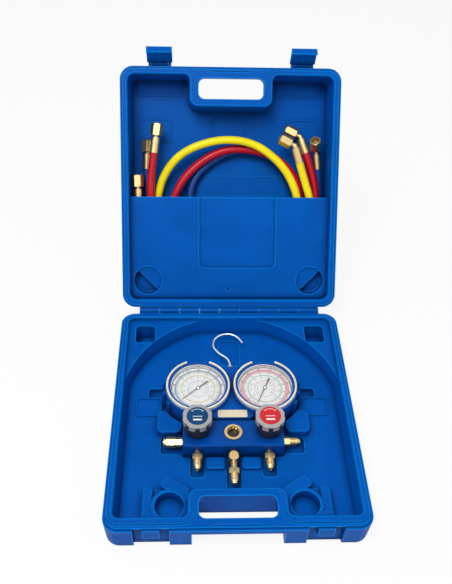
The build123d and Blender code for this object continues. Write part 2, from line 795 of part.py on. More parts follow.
def tooth_ring(teeth, whole, base_half, tip_half, first):
    """Outline of gear teeth round a wheel that would have as many as whole."""
    pitch_r = gear_m * whole / 2
    step = 360 / whole
    points = []
    for n in range(teeth):
        mid = first + n * step
        for half, radius in ((-base_half, -1.25), (-tip_half, 1.0), (tip_half, 1.0), (base_half, -1.25)):
            angle = radians(mid + half)
            reach = pitch_r + radius * gear_m
            points.append((reach * cos(angle), reach * sin(angle)))
    return points


def pinion_arbor(turn):
    """Arbor that carries the needle, with its pinion."""
    step = 360 / pinion_n
    teeth = make_face(Polyline(*tooth_ring(pinion_n, pinion_n, step * 0.30, step * 0.10, 180 + step / 2),
                               close=True))
    arbor = rod(arbor_r, plate_low, needle_z + 0.8) + slab(teeth, gear_z, gear_z + gear_t)
    return Rot(0, 0, turn) * arbor


def sector_gear(turn):
    """Toothed sector on its own post, with the arm that the tube's link pulls."""
    reach = gear_m * (wheel_n + pinion_n) / 2
    step = 360 / wheel_n
    first = -step * 1.0
    arc = tooth_ring(sector_teeth, wheel_n, step * 0.30, step * 0.10, first)
    last = radians(first + (sector_teeth - 1) * step)
    rim = make_face(Polyline((0, 0), *arc, close=True))
    plate = slab(rim, gear_z + 0.2, gear_z + gear_t - 0.2)
    plate += rod(2.2, plate_low + plate_t + 0.1, plate_high - 0.1)
    arm = Rot(0, 0, degrees(last) / 2 + 180) * Pos(4.5, 0, gear_z + gear_t / 2) * Box(9, 2.4, gear_t - 0.4)
    plate = plate + arm
    plate -= rod(0.8 + pin_fit, plate_low, plate_high)
    return Pos(-reach, 0) * Rot(0, 0, turn) * plate


def movement_frame():
    """Two plates that carry the arbor and the sector's post, on a block over the socket."""
    reach = gear_m * (wheel_n + pinion_n) / 2
    outline = rounded(reach + 10, 12, 3, -reach / 2, 0) + rounded(8, 24, 2, 0, -12)
    frame = Part()
    for low in (plate_low, plate_high):
        frame += slab(outline, low, low + plate_t)
    frame += slab(rounded(7, 3, 1, 0, -20.5), plate_low, plate_high + plate_t)
    frame -= rod(arbor_r + pin_fit, plate_low - 1, plate_high + 3)
    frame += rod(0.8, plate_low, plate_high + plate_t, -reach, 0)
    foot = socket_face - seam
    frame += slab(rounded(7, foot - 18, 1, 0, -(foot + 18) / 2), plate_low, plate_low + plate_t)
    return frame


def bourdon_tube():
    """Flattened tube bent round from the socket, open towards the low side."""
    start = -90 + 8
    path = CenterArc((0, 0, tube_z), tube_r, start, tube_sweep)
    across = Plane(origin=path @ 0, z_dir=path % 0, x_dir=(0, 0, 1))
    return sweep(across * RectangleRounded(tube_h, tube_w, tube_edge), path=path)


# ---- rubber boot ---------------------------------------------------------------------------
def boot_shell():
    """One moulding: a cup round each gauge, joined by a bridge over the gauge stems."""
    cups = Part()
    for x in (low_x, high_x):
        cup = rod(boot_r, boot_low, boot_high, x, gauge_y)
        cup = chamfer(cup.edges().group_by(Axis.Z)[-1], 1.7)
        cups += chamfer(cup.edges().group_by(Axis.Z)[0], 2.5)
        side = 1 if x > mid_x else -1
        for n in range(rib_n):
            turn = (0 if side > 0 else 180) + side * (34 - 22 * n)
            rib = Box(2 * rib_out, rib_w, boot_high - boot_low - 8)
            cups += Pos(x, gauge_y) * Rot(0, 0, turn) * Pos(boot_r, 0, (boot_low + boot_high) / 2) * rib
    bridge = slab(rounded(bridge_w, bridge_back - bridge_front, 6, mid_x, (bridge_back + bridge_front) / 2),
                  boot_low + 3, bridge_top)
    shell = cups + bridge
    for x in (low_x, high_x):
        shell += rod(lip_out, boot_high - 2, lip_top, x, gauge_y)
    shell += slab(rounded(22, 22, 5, mid_x, bridge_back + 3), boot_low + 6, bridge_top - 3)
    for x in (low_x, high_x):
        shell -= rod(gauge_r, gauge_low, bezel_low, x, gauge_y)
        shell -= rod(bezel_r, bezel_low, bezel_high + pin_fit, x, gauge_y)
        shell -= rod(lip_in, bezel_low, lip_top + 1, x, gauge_y)
        shell -= box(x - stem_w / 2, x + stem_w / 2, bridge_front - 20, gauge_y - gauge_r + 3,
                     port_z - stem_w / 2, port_z + stem_w / 2)
    shell -= box(mid_x - body_w, mid_x + body_w, body_y, body_y + body_d / 2, 0, 100)
    shell -= Pos(mid_x, hook_shank_y, hook_z) * Rot(90, 0, 0) * Cylinder(ferrule_r, 2 * ferrule_l)
    return shell


def boot_trim():
    """Open ring laid on each cup's edge."""
    ring = rod(boot_lip_r, boot_high, boot_high + trim_h)
    ring -= rod(trim_in, boot_high - 1, boot_high + trim_h + 1)
    ring = fillet(ring.faces().sort_by(Axis.Z)[-1].edges(), 1.2)
    wedge = make_face(Polyline((0, 0), (60 * sin(radians(-trim_gap)), 60 * cos(radians(trim_gap))),
                               (60 * sin(radians(trim_gap)), 60 * cos(radians(trim_gap))), close=True))
    return ring - slab(wedge, boot_high - 1, boot_high + trim_h + 1)


def label_plate():
    return slab(rounded(label_w, label_d, 1.5, mid_x, label_y), bridge_top, bridge_top + label_t)


# ---- hook ----------------------------------------------------------------------------------
def hook_ferrule():
    y = hook_shank_y
    lying = Pos(mid_x, y, hook_z) * Rot(90, 0, 0)
    ferrule = lying * Cylinder(ferrule_r, 2 * ferrule_l)
    ferrule -= lying * Cylinder(hook_wire_r + pin_fit, 2 * ferrule_l + 2)
    return ferrule - lying * Pos(0, 0, ferrule_l) * Cylinder(collar_r + pin_fit, 2 * collar_l + 0.4)


def hook_wire():
    """Bent wire: a shank in the ferrule, then an open loop to one side."""
    y = hook_shank_y
    route = [(0, y - ferrule_l), (0, y + ferrule_l + hook_lead)]
    route += [(x, y + reach) for x, reach in hook_bends]
    points = [(mid_x + x, py, hook_z) for x, py in route]
    radii = cord_radii(points)
    path = FilletPolyline(*points, radius=radii)
    section = Plane(origin=path @ 0, z_dir=path % 0) * Circle(hook_wire_r)
    wire = sweep(section, path=path)
    for at in (y + ferrule_l + collar_l / 2 + 0.2, y - ferrule_l + collar_l / 2):
        wire += Pos(mid_x, at, hook_z) * Rot(90, 0, 0) * Cylinder(collar_r, collar_l)
    return wire


# ---- brass ports ---------------------------------------------------------------------------
def along(origin, direction, shape):
    """A shape drawn along +Z from the origin, laid along a direction."""
    return Plane(origin=origin, z_dir=direction).location * shape


def hexagon(across, low, high):
    return slab(RegularPolygon(across / 2, 6, major_radius=False), low, high)


def flare_fitting(neck):
    """Neck, hexagon, thread and 45 degree nose, bored through."""
    hex_at = neck
    thread_at = hex_at + port_hex_l
    nose_at = thread_at + port_thread_l
    body = rod(port_neck_r, 0, hex_at + 1) + hexagon(hex_af, hex_at, thread_at)
    body += rod(flare_r, thread_at, nose_at)
    nose = Pos(0, 0, nose_at + port_nose_l / 2) * Cone(flare_r - 0.6, flare_bore + 1.2, port_nose_l)
    return body + nose - rod(flare_bore, -1, nose_at + port_nose_l + 1)


def port_fittings():
    front = body_y - body_d / 2
    pair = Part()
    for x in (mid_x - port_dx, mid_x + port_dx):
        pair += along((x, front, port_z), (0, -1, 0), flare_fitting(port_neck_l))
    return pair


def side_fitting(side):
    x = mid_x + side * body_w / 2
    return along((x, side_port_y, port_z), (side, 0, 0), flare_fitting(1.0))


def side_cap():
    """Blind nut on the left side port."""
    start = 1.0 + port_hex_l + 1.0
    length = port_thread_l + port_nose_l + 2
    cap = hexagon(cap_af, start, start + length - 4)
    cap += rod(cap_af / 2 - 0.8, start + length - 4, start + length)
    cap -= rod(flare_r + pin_fit, start - 1, start + length - 2)
    return along((mid_x - body_w / 2, side_port_y, port_z), (-1, 0, 0), cap)


def centre_tee():
    """Upright body with a round end, and the centre port in front of it."""
    front = body_y - body_d / 2
    body = rod(tee_r, tee_low, tee_high, mid_x, tee_y)
    body = chamfer(body.edges().group_by(Axis.Z)[-1], 1.2)
    body -= rod(2.2, tee_high - 1.2, tee_high + 1, mid_x, tee_y)
    body += along((mid_x, front, port_z), (0, -1, 0), rod(port_neck_r, 0, front - tee_y))
    reach = tee_y - tee_end_y - port_hex_l - port_thread_l - port_nose_l
    port = along((mid_x, tee_y, port_z), (0, -1, 0), flare_fitting(reach))
    bore = along((mid_x, front, port_z), (0, -1, 0), rod(flare_bore, -1, 60))
    return body + port - bore


def valve_cores():
    """Depressor pins that stand in the noses of the front ports."""
    front = body_y - body_d / 2
    tip = port_neck_l + port_hex_l + port_thread_l + port_nose_l
    pins = Part()
    for x in (mid_x - port_dx, mid_x + port_dx):
        pin = rod(flare_bore, tip - core_in, tip - core_in / 4)
        pin += rod(core_pin_r, tip - core_in / 2, tip + core_out)
        pins += along((x, front, port_z), (0, -1, 0), pin)
    return pins


# ---- hoses ---------------------------------------------------------------------------------
def cord_radii(points):
    """The bend at each corner of a route, as large as its two runs allow."""
    radii = []
    for before, at, after in zip(points, points[1:], points[2:]):
        a = Vector(*at) - Vector(*before)
        b = Vector(*after) - Vector(*at)
        turn = radians(a.get_angle(b))
        radii.append(0.45 * min(a.length, b.length) / tan(turn / 2))
    return radii


def hose(name, route):
    """A plain tube along a route of points in the lid."""
    points = [tuple(in_lid(*p)) for p in route]
    radii = cord_radii(points)
    path = FilletPolyline(*points, radius=radii)
    section = Plane(origin=path @ 0, z_dir=path % 0) * Circle(hose_r)
    tube = sweep(section, path=path)
    flat = pi * hose_r ** 2 * path.length
    print(name, "length", round(path.length, 1), "smallest bend", round(min(radii), 1),
          "volume over section times length", round(tube.volume / flat, 4))
    return tube


def hose_end(route, last):
    """Where a hose stops and which way it points there."""
    points = [in_lid(*p) for p in route]
    here, before = (points[-1], points[-2]) if last else (points[0], points[1])
    return here, (here - before).normalized()


def straight_sleeve(place, way):
    sleeve = rod(sleeve_r, 0, sleeve_l)
    for n in range(2):
        groove = rod(sleeve_r + 1, 6 + 6 * n, 7.2 + 6 * n) - rod(sleeve_r - 0.7, 0, sleeve_l)
        sleeve -= groove
    sleeve += rod(tail_r, sleeve_l, sleeve_l + tail_l)
    sleeve += rod(tail_r + 1.2, sleeve_l + tail_l - 1.5, sleeve_l + tail_l)
    return along(place, way, sleeve - rod(2.2, sleeve_l + 2, sleeve_l + tail_l + 1))


def hose_nut():
    """Swivel nut over the tail's flange, drawn along +Z from its closed end."""
    nut = hexagon(nut_af, 0, nut_l)
    nut &= chamfer(rod(nut_af / 2 * 1.13, 0, nut_l).edges(), 1.5)
    nut -= rod(tail_r + 0.1, -1, nut_l + 1)
    return nut - rod(nut_bore, 3.5, nut_l + 1)


def bent_way(way, twist):
    """The direction of a bent end: to the left in the plane of the lid, or twisted out of the lid."""
    out = Vector(0, 0, -1)
    left = out.cross(way).normalized()
    aside = left * cos(radians(twist)) + out * sin(radians(twist))
    return (way * cos(radians(elbow)) + aside * sin(radians(elbow))).normalized()


def bent_sleeve(place, way, twist):
    """Sleeve, elbow and the tail that the bent end's nut turns on."""
    turned = bent_way(way, twist)
    corner = place + way * (sleeve_l + 4)
    sleeve = along(place, way, rod(sleeve_r, 0, sleeve_l))
    sleeve += along(place + way * sleeve_l, way, rod(tail_r + 0.6, 0, 4))
    sleeve += Pos(*corner) * Sphere(tail_r + 0.6)
    sleeve += along(corner, turned, rod(tail_r, 0, tail_l + 4) + rod(tail_r + 1.2, tail_l + 2.5, tail_l + 4))
    return sleeve


layer_f = front_layer
layer_m = mid_layer
layer_b = back_layer

yellow_route = [
    (107.5, 228, layer_f - 3), (116, 202, layer_f), (125, 174, layer_f), (133, 140, layer_f),
    (134, 106, layer_f + 3), (115, 79, layer_m), (88, 50, layer_m), (56, 34, layer_m), (19, 28, layer_m),
    (-20, 28.5, layer_m), (-56, 37, layer_m), (-90, 56, layer_m), (-112, 86, layer_m),
    (-118.5, 120, layer_m), (-116, 150, layer_m), (-111, 177, layer_m), (-104, 204, layer_m - 2),
    (-85, 232, layer_f + 3), (-59, 249.5, layer_f), (-27, 259.5, layer_f), (-2, 262, layer_f),
    (24, 259.5, layer_f), (50, 249.5, layer_f), (77, 228, layer_f), (95, 203, layer_f),
    (106, 174, layer_f), (108, 140, layer_f), (101, 106, layer_f), (84, 74, layer_f), (56, 49, layer_f),
    (20, 37, layer_f), (-20, 37.5, layer_f), (-58, 47, layer_f), (-94, 65, layer_f), (-121, 90, layer_f),
    (-136, 119, layer_f), (-140.4, 144, layer_f), (-140.9, 163, layer_f)]
red_route = [
    (119, 243, layer_m + 1.5), (129.5, 213, layer_m), (137, 178, layer_m), (132, 142, layer_m),
    (112, 107, layer_m), (86, 77, layer_m), (52, 56, layer_m), (14, 47, layer_m), (-26, 46, layer_m),
    (-64, 57, layer_m), (-92, 84, layer_m), (-98, 118, layer_m), (-94, 148, layer_m),
    (-86, 175, layer_m), (-73, 201, layer_m), (-52, 223, layer_m), (-25, 240.5, layer_m),
    (2, 248.5, layer_m), (28, 248, layer_m), (52, 243.5, layer_m), (76, 233, layer_m),
    (96, 215, layer_m), (108, 194, layer_m), (112, 168, layer_m), (104, 140, layer_m),
    (86, 110, layer_m - 2), (58, 84, layer_f), (27, 70, layer_f), (-9, 65.5, layer_f),
    (-46, 70, layer_f), (-82, 84, layer_f), (-108, 108, layer_f), (-120, 140, layer_f),
    (-122.5, 174, layer_f), (-121, 210, layer_f), (-116.8, 241, layer_f)]
blue_route = [
    (139.5, 219, layer_b - 4), (143, 190, layer_b), (143.5, 158, layer_b), (142, 126, layer_b),
    (133, 96, layer_b), (108, 77, layer_b), (80, 50, layer_b), (46, 41, layer_b), (14, 52, layer_b),
    (-12, 78, layer_b), (-36, 110, layer_b), (-55, 141, layer_b), (-64, 175, layer_b),
    (-53, 208, layer_b), (-24, 233, layer_b), (9, 246, layer_b), (43, 245, layer_b), (74, 231, layer_b),
    (97, 207, layer_b), (108, 176, layer_b), (109, 144, layer_b), (100, 114, layer_b), (80, 91, layer_b),
    (54, 77, layer_b - 4), (24, 71, layer_m), (-8, 73, layer_m), (-42, 81, layer_m + 2),
    (-74, 92, layer_b - 1), (-103, 108, layer_b), (-121, 136, layer_b), (-129, 168, layer_b),
    (-129.5, 200, layer_b - 1), (-129, 217, layer_b - 2)]
hose_routes = {"yellow": yellow_route, "red": red_route, "blue": blue_route}


# ---- build ---------------------------------------------------------------------------------
def build_case():
    save(case_base(), "case_base")
    save(hinge_pin(), "hinge_pin")
    save(opened(case_lid()), "case_lid")
    save(opened(lid_pocket_panel()), "lid_pocket_panel")
    save(opened(latch_pins()), "latch_pins")
    save(opened(latch(-1)), "latch_left")
    save(opened(latch(1)), "latch_right")


def build_block():
    save(manifold_block(), "manifold_block")
    save(sight_glass_ring(), "sight_glass_ring")
    save(sight_glass_lens(), "sight_glass_lens")
    save(valve_bonnets(), "valve_bonnets")
    for name, x in (("left", mid_x - port_dx), ("right", mid_x + port_dx)):
        save(valve_piston(x), f"valve_piston_{name}")
        save(valve_stem(x), f"valve_stem_{name}")
        save(knob_body(x), f"knob_body_{name}")
        save(knob_crown(x), f"knob_crown_{name}")
        save(knob_cap(x), f"knob_cap_{name}")
    save(port_fittings(), "port_fittings")
    save(valve_cores(), "valve_cores")
    save(side_fitting(-1), "side_fitting_left")
    save(side_fitting(1), "side_fitting_right")
    save(side_cap(), "side_cap")
    save(centre_tee(), "centre_tee")


def build_gauges():
    save(at_gauges(gauge_case()), "gauge_cases")
    save(at_gauges(gauge_bezel()), "gauge_bezels")
    save(at_gauges(gauge_glass()), "gauge_glasses")
    save(at_gauges(movement_frame()), "movement_frames")
    save(at_gauges(bourdon_tube()), "bourdon_tubes")
    for name, x, rest in (("low", low_x, low_rest), ("high", high_x, high_rest)):
        started = high_rest - rest
        place = Pos(x, gauge_y)
        save(place * gauge_dial(), f"gauge_dial_{name}")
        save(place * needle(rest), f"gauge_needle_{name}")
        save(place * pinion_arbor(-started), f"pinion_arbor_{name}")
        save(place * sector_gear(started * pinion_n / wheel_n), f"sector_gear_{name}")
    save(boot_shell(), "boot_shell")
    save(at_gauges(boot_trim()), "boot_trims")
    save(label_plate(), "label_plate")
    save(hook_ferrule(), "hook_ferrule")
    save(hook_wire(), "hook_wire")


def build_hoses():
    for colour, route in hose_routes.items():
        save(opened(hose(colour, route)), f"hose_{colour}")
        place, way = hose_end(route, True)
        save(opened(straight_sleeve(place, way)), f"sleeve_straight_{colour}")
        nut_at = place + way * (sleeve_l + tail_l - 5.2)
        save(opened(along(nut_at, way, hose_nut())), f"nut_straight_{colour}")
        place, way = hose_end(route, False)
        save(opened(bent_sleeve(place, way, elbow_twist[colour])), f"sleeve_bent_{colour}")
        turned = bent_way(way, elbow_twist[colour])
        nut_at = place + way * (sleeve_l + 4) + turned * (tail_l + 4 - 5.2)
        save(opened(along(nut_at, turned, hose_nut())), f"nut_bent_{colour}")


build_case()
build_block()
build_gauges()
build_hoses()
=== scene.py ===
"""Looks of the refrigerant manifold gauge set in its carrying case.

Finishes for the solids, the three hoses, the print on the dials, the flare threads, the fine forms of
the case, and the stage. Shapes are worked out in millimetres and put into meshes in metres."""

import bpy
import numpy as np
from bpy.props import FloatProperty, FloatVectorProperty, IntProperty, PointerProperty
from mathutils import Matrix


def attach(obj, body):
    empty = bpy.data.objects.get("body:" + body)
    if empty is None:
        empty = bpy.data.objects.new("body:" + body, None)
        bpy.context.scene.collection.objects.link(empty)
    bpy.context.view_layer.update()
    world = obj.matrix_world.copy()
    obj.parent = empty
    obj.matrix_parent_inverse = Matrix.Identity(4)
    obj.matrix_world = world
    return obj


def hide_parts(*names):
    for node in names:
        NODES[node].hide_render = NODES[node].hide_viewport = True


bl_info = {
    "name": "Manifold gauge set",
    "version": (1, 0, 0),
    "blender": (4, 5, 0),
    "location": "3D View > Sidebar > Gauge set",
    "description": "Finishes the manifold gauge set and builds its hoses, dials and threads",
    "category": "Object",
}

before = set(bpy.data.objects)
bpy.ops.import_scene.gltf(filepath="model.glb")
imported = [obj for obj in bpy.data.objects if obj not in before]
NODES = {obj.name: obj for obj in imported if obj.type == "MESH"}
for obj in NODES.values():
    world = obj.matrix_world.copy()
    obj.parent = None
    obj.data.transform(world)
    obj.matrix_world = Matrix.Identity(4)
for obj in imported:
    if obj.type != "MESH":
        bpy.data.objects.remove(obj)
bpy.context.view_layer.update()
MM = 0.001

# Places on the part, millimetres.
HINGE_Y, HINGE_Z = 185.5, 41.65
LID_Z = 41.8                                     # the lid's rim when the lid is shut
LID_OPEN = np.radians(125.3)
GAUGES = {"low": (-49.0, 34.5), "high": (45.0, 34.5)}
KNOBS = {"left": (-50.0, -32.0), "right": (46.0, -32.0)}
DIAL_R, DIAL_TOP, CAP_TOP = 40.0, 39.8, 67.0
INK, INK_SUNK, NUMBERS_AT = 0.05, 0.02, 0.03     # print over its ground, in it, and the numbers' middle
HOSES = ("yellow", "red", "blue")
HOSE_ENDS = ("sleeve_straight", "nut_straight", "sleeve_bent", "nut_bent")


# ---- numpy surfaces ---------------------------------------------------------------------------
def unit(vector):
    """The vector, or each row of an array of vectors, divided by its length."""
    vector = np.asarray(vector, float)
    return vector / np.linalg.norm(vector, axis=-1, keepdims=True)


def new_piece(name, points, faces, material, body, slot, smooth=True):
    """Puts vertices in millimetres and index rows into a mesh object that rides on a body."""
    mesh = bpy.data.meshes.new(name)
    mesh.from_pydata((np.asarray(points, float) * MM).tolist(), [], [list(map(int, f)) for f in faces])
    mesh.polygons.foreach_set("use_smooth", np.full(len(mesh.polygons), smooth))
    mesh.materials.append(material)
    mesh.update()
    piece = bpy.data.objects.new(name, mesh)
    bpy.context.scene.collection.objects.link(piece)
    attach(piece, body)
    return piece


def grid_faces(rows, columns):
    """Quads between neighbours of a rows x columns grid: point (r, c) has the index r columns + c, and
    each row closes on itself as a ring."""
    r = np.arange(rows - 1)[:, None] * columns
    c = np.arange(columns)[None, :]
    ahead = (c + 1) % columns
    return np.stack([r + c, r + ahead, r + columns + ahead, r + columns + c], -1).reshape(-1, 4)


def revolved(profile, centre, sides):
    """A profile of (radius, height) turned about +Z: P(i, t) = centre + (r_i cos t, r_i sin t, z_i).

    The profile starts and ends on the axis, where its row of points is one pole."""
    profile = np.asarray(profile, float)
    t = np.linspace(0, 2 * np.pi, sides, endpoint=False)
    radius, height = profile[1:-1, 0, None], profile[1:-1, 1, None]
    rows = np.stack([radius * np.cos(t), radius * np.sin(t), height + 0 * t], -1)
    poles = np.stack([[0, 0, profile[0, 1]], [0, 0, profile[-1, 1]]])
    points = np.concatenate([rows.reshape(-1, 3), poles]) + centre
    faces = list(grid_faces(len(rows), sides))
    ring = np.arange(sides)
    last = (len(rows) - 1) * sides
    first_pole, last_pole = len(points) - 2, len(points) - 1
    faces += [(first_pole, (k + 1) % sides, k) for k in ring]
    faces += [(last + k, last + (k + 1) % sides, last_pole) for k in ring]
    return points, faces


THREAD_ACROSS = np.array([-0.46, -0.1, 0.1, 0.46, 0.0])      # the ridge's corners, in pitches
THREAD_RISE = np.array([-0.12, 1.0, 1.0, -0.12, -0.5])       # and in heights, the last one buried


def helix_ridge(start, axis, length, radius, pitch, height, steps=28):
    """A screw thread: a flat-topped ridge carried along a helix, dying away at both ends.

    P(t, k) = start + axis (pitch t / 2 pi + w_k) + radial(t) (radius + h_k fade(t)), where w and h are
    the places and heights of the ridge's corners, and fade rises from 0 to 1 over the first half turn
    and falls back over the last."""
    axis = unit(axis)
    side = unit(np.cross(axis, [0.0, 0.3, 1.0]))
    other = np.cross(axis, side)
    turns = (length - pitch) / pitch
    t = np.linspace(0, 2 * np.pi * turns, int(steps * turns))
    fade = np.clip(np.minimum(t, t[-1] - t) / np.pi, 0.02, 1)[:, None]
    across = THREAD_ACROSS * pitch
    rise = THREAD_RISE * height
    radial = np.cos(t)[:, None] * side + np.sin(t)[:, None] * other
    along = pitch * t[:, None] / (2 * np.pi) + across + pitch / 2
    points = (np.asarray(start, float) + along[..., None] * axis
              + radial[:, None] * (radius + rise * fade)[..., None]).reshape(-1, 3)
    n, last = len(across), len(points) - 1
    faces = list(grid_faces(len(t), n)[:, ::-1])
    faces += [tuple(range(n)), tuple(range(last, last - n, -1))]
    return points, faces


def prisms(corners, low, high):
    """Flat shapes given by n rows of four corners, made solid between two heights: corner k of shape i
    stands twice, at (x, y, low) and at (x, y, high), and six quads close each shape."""
    corners = np.asarray(corners, float)
    n = len(corners)
    under = np.concatenate([corners, np.full((n, 4, 1), low)], -1)
    over = np.concatenate([corners, np.full((n, 4, 1), high)], -1)
    points = np.concatenate([under, over], 1).reshape(-1, 3)
    shape = np.array([[3, 2, 1, 0], [4, 5, 6, 7], [0, 1, 5, 4], [1, 2, 6, 5], [2, 3, 7, 6], [3, 0, 4, 7]])
    return points, (np.arange(n)[:, None, None] * 8 + shape).reshape(-1, 4)


def tick_marks(centre, angles, inner, outer, width):
    """Radial strokes: each is centre + r u(a) +- width/2 v(a), with u outwards and v across."""
    out = np.stack([np.cos(angles), np.sin(angles)], -1)
    across = np.stack([-out[:, 1], out[:, 0]], -1) * width / 2
    near, far = out * inner, out * outer
    return np.stack([near - across, far - across, far + across, near + across], 1) + np.asarray(centre)


def bars(centre, rows):
    """Level strokes under each other, each given by its height, length and width: the corners lie at
    centre + (+- length / 2, height +- width / 2)."""
    middle, length, width = np.array(rows, float).T[:, :, None]
    x = np.array([-1, 1, 1, -1]) * length / 2
    y = middle + np.array([-1, -1, 1, 1]) * width / 2
    return np.stack([x, y], -1) + np.asarray(centre)


def arc_band(centre, start, end, inner, outer, steps):
    """A flat ring segment as a row of quads: P(a, r) = centre + r (cos a, sin a) between two radii."""
    a = np.linspace(start, end, steps)
    out = np.stack([np.cos(a), np.sin(a)], -1)
    near, far = out * inner, out * outer
    return np.stack([near[:-1], near[1:], far[1:], far[:-1]], 1)[:, ::-1] + np.asarray(centre)


def figures(words, places, angles, size, height, depth=0.04):
    """Numbers as solids: a point p of a number becomes R(angle) p + place, at one height for all."""
    points, faces, count = [], [], 0
    for word, place, angle in zip(words, places, angles):
        text = bpy.data.curves.new("figure", "FONT")
        text.body, text.size, text.extrude = word, size, depth / 2
        text.align_x = text.align_y = "CENTER"
        text.resolution_u = 2
        holder = bpy.data.objects.new("figure", text)
        mesh = bpy.data.meshes.new_from_object(holder)
        flat = np.empty(len(mesh.vertices) * 3)
        mesh.vertices.foreach_get("co", flat)
        flat = flat.reshape(-1, 3)
        c, s = np.cos(angle), np.sin(angle)
        turned = flat @ np.array([[c, s, 0], [-s, c, 0], [0, 0, 1]]) + [place[0], place[1], height]
        points.append(turned)
        faces += [[v + count for v in polygon.vertices] for polygon in mesh.polygons]
        count += len(flat)
        bpy.data.objects.remove(holder)
        bpy.data.curves.remove(text)
        bpy.data.meshes.remove(mesh)
    return np.concatenate(points), faces


def joined(*shapes):
    """Several (points, faces) shapes as one, each one's face indices moved on by the points before it."""
    points, faces, count = [], [], 0
    for p, f in shapes:
        points.append(np.asarray(p))
        faces += [[int(v) + count for v in face] for face in f]
        count += len(p)
    return np.concatenate(points), faces


# ---- finishes -----------------------------------------------------------------------------------
FLAT_EDGE, SHARP_EDGE = 0.995, 0.86      # cosines of the normal's lean where the paler edge, wear and painted highlight, starts and is full
GROOVE_REACH = 0.012                     # how near walls have to be for the painted shade in a groove
HOSE_ROUGHNESS = 0.34


class Finish:
    """A material being wired: coordinates, noises and the surface shader. Lengths are in metres and the
    scale of a noise is in waves per metre."""

    def __init__(self, name, colour, roughness, metallic=0.0):
        self.material = bpy.data.materials.new(name)
        self.material.use_nodes = True
        self.tree = self.material.node_tree
        self.shader = self.tree.nodes["Principled BSDF"]
        self.colour = (*colour, 1.0)
        self.shader.inputs["Base Color"].default_value = self.colour
        self.shader.inputs["Roughness"].default_value = roughness
        self.shader.inputs["Metallic"].default_value = metallic
        self.coords = self.node("ShaderNodeTexCoord").outputs["Object"]
        self.bump_from = None

    def node(self, kind, **settings):
        """A new node of a kind, with its settings."""
        made = self.tree.nodes.new(kind)
        for key, value in settings.items():
            setattr(made, key, value)
        return made

    def link(self, source, target):
        """Joins an output to an input."""
        self.tree.links.new(source, target)

    def moved(self, location, scale):
        """The object's coordinates, moved and scaled."""
        mapping = self.node("ShaderNodeMapping")
        mapping.inputs["Location"].default_value = location
        mapping.inputs["Scale"].default_value = scale
        self.link(self.coords, mapping.inputs["Vector"])
        return mapping.outputs["Vector"]

    def noise(self, scale, detail=3.0, roughness=0.5, distortion=0.0):
        """A noise fixed to the object, about 0.5 in the middle."""
        made = self.node("ShaderNodeTexNoise")
        for key, value in (("Scale", scale), ("Detail", detail), ("Roughness", roughness),
                           ("Distortion", distortion)):
            made.inputs[key].default_value = value
        self.link(self.coords, made.inputs["Vector"])
        return made.outputs["Fac"]

    def ranged(self, source, low, high, to_low, to_high):
        """A value carried from one range to another and held at its ends."""
        made = self.node("ShaderNodeMapRange")
        for k, value in enumerate((low, high, to_low, to_high)):
            made.inputs[k + 1].default_value = value
        self.link(source, made.inputs[0])
        return made.outputs[0]

    def mixed(self, factor, one, two):
        """One colour or socket where the factor is 0 and the other where it is 1."""
        made = self.node("ShaderNodeMix", data_type="RGBA")
        self.link(factor, made.inputs[0])
        for socket, value in ((made.inputs[6], one), (made.inputs[7], two)):
            if isinstance(value, tuple):
                socket.default_value = value if len(value) == 4 else (*value, 1.0)
            else:
                self.link(value, socket)
        return made.outputs[2]

    def bumped(self, height, distance, strength=1.0):
        """Adds relief of a depth to the relief that is there."""
        made = self.node("ShaderNodeBump")
        made.inputs["Distance"].default_value = distance
        made.inputs["Strength"].default_value = strength
        self.link(height, made.inputs["Height"])
        if self.bump_from:
            self.link(self.bump_from, made.inputs["Normal"])
        self.bump_from = made.outputs["Normal"]
        self.link(self.bump_from, self.shader.inputs["Normal"])

    def edge_mask(self, radius):
        """1 on sharp edges: how far the rounded normal leans from the true one."""
        bevel = self.node("ShaderNodeBevel", samples=4)
        bevel.inputs["Radius"].default_value = radius
        true = self.node("ShaderNodeNewGeometry").outputs["Normal"]
        lean = self.node("ShaderNodeVectorMath", operation="DOT_PRODUCT")
        self.link(bevel.outputs[0], lean.inputs[0])
        self.link(true, lean.inputs[1])
        return self.ranged(lean.outputs["Value"], FLAT_EDGE, SHARP_EDGE, 0.0, 1.0)

    def openness(self, reach, low, high, to_low, to_high):
        """How open the surface is within a reach: less in grooves and corners."""
        near = self.node("ShaderNodeAmbientOcclusion", samples=6)
        near.inputs["Distance"].default_value = reach
        return self.ranged(near.outputs["AO"], low, high, to_low, to_high)

    def times(self, one, two):
        """The product of two values."""
        made = self.node("ShaderNodeMath", operation="MULTIPLY")
        self.link(one, made.inputs[0])
        self.link(two, made.inputs[1])
        return made.outputs[0]

    def base(self, socket):
        """Sets the surface's colour."""
        self.link(socket, self.shader.inputs["Base Color"])

    def roughened(self, socket, low, high):
        """Sets the surface's roughness from a noise."""
        self.link(self.ranged(socket, 0.3, 0.7, low, high), self.shader.inputs["Roughness"])


def shade(colour, factor):
    """A colour made darker or lighter by a factor."""
    return tuple(min(1.0, c * factor) for c in colour)


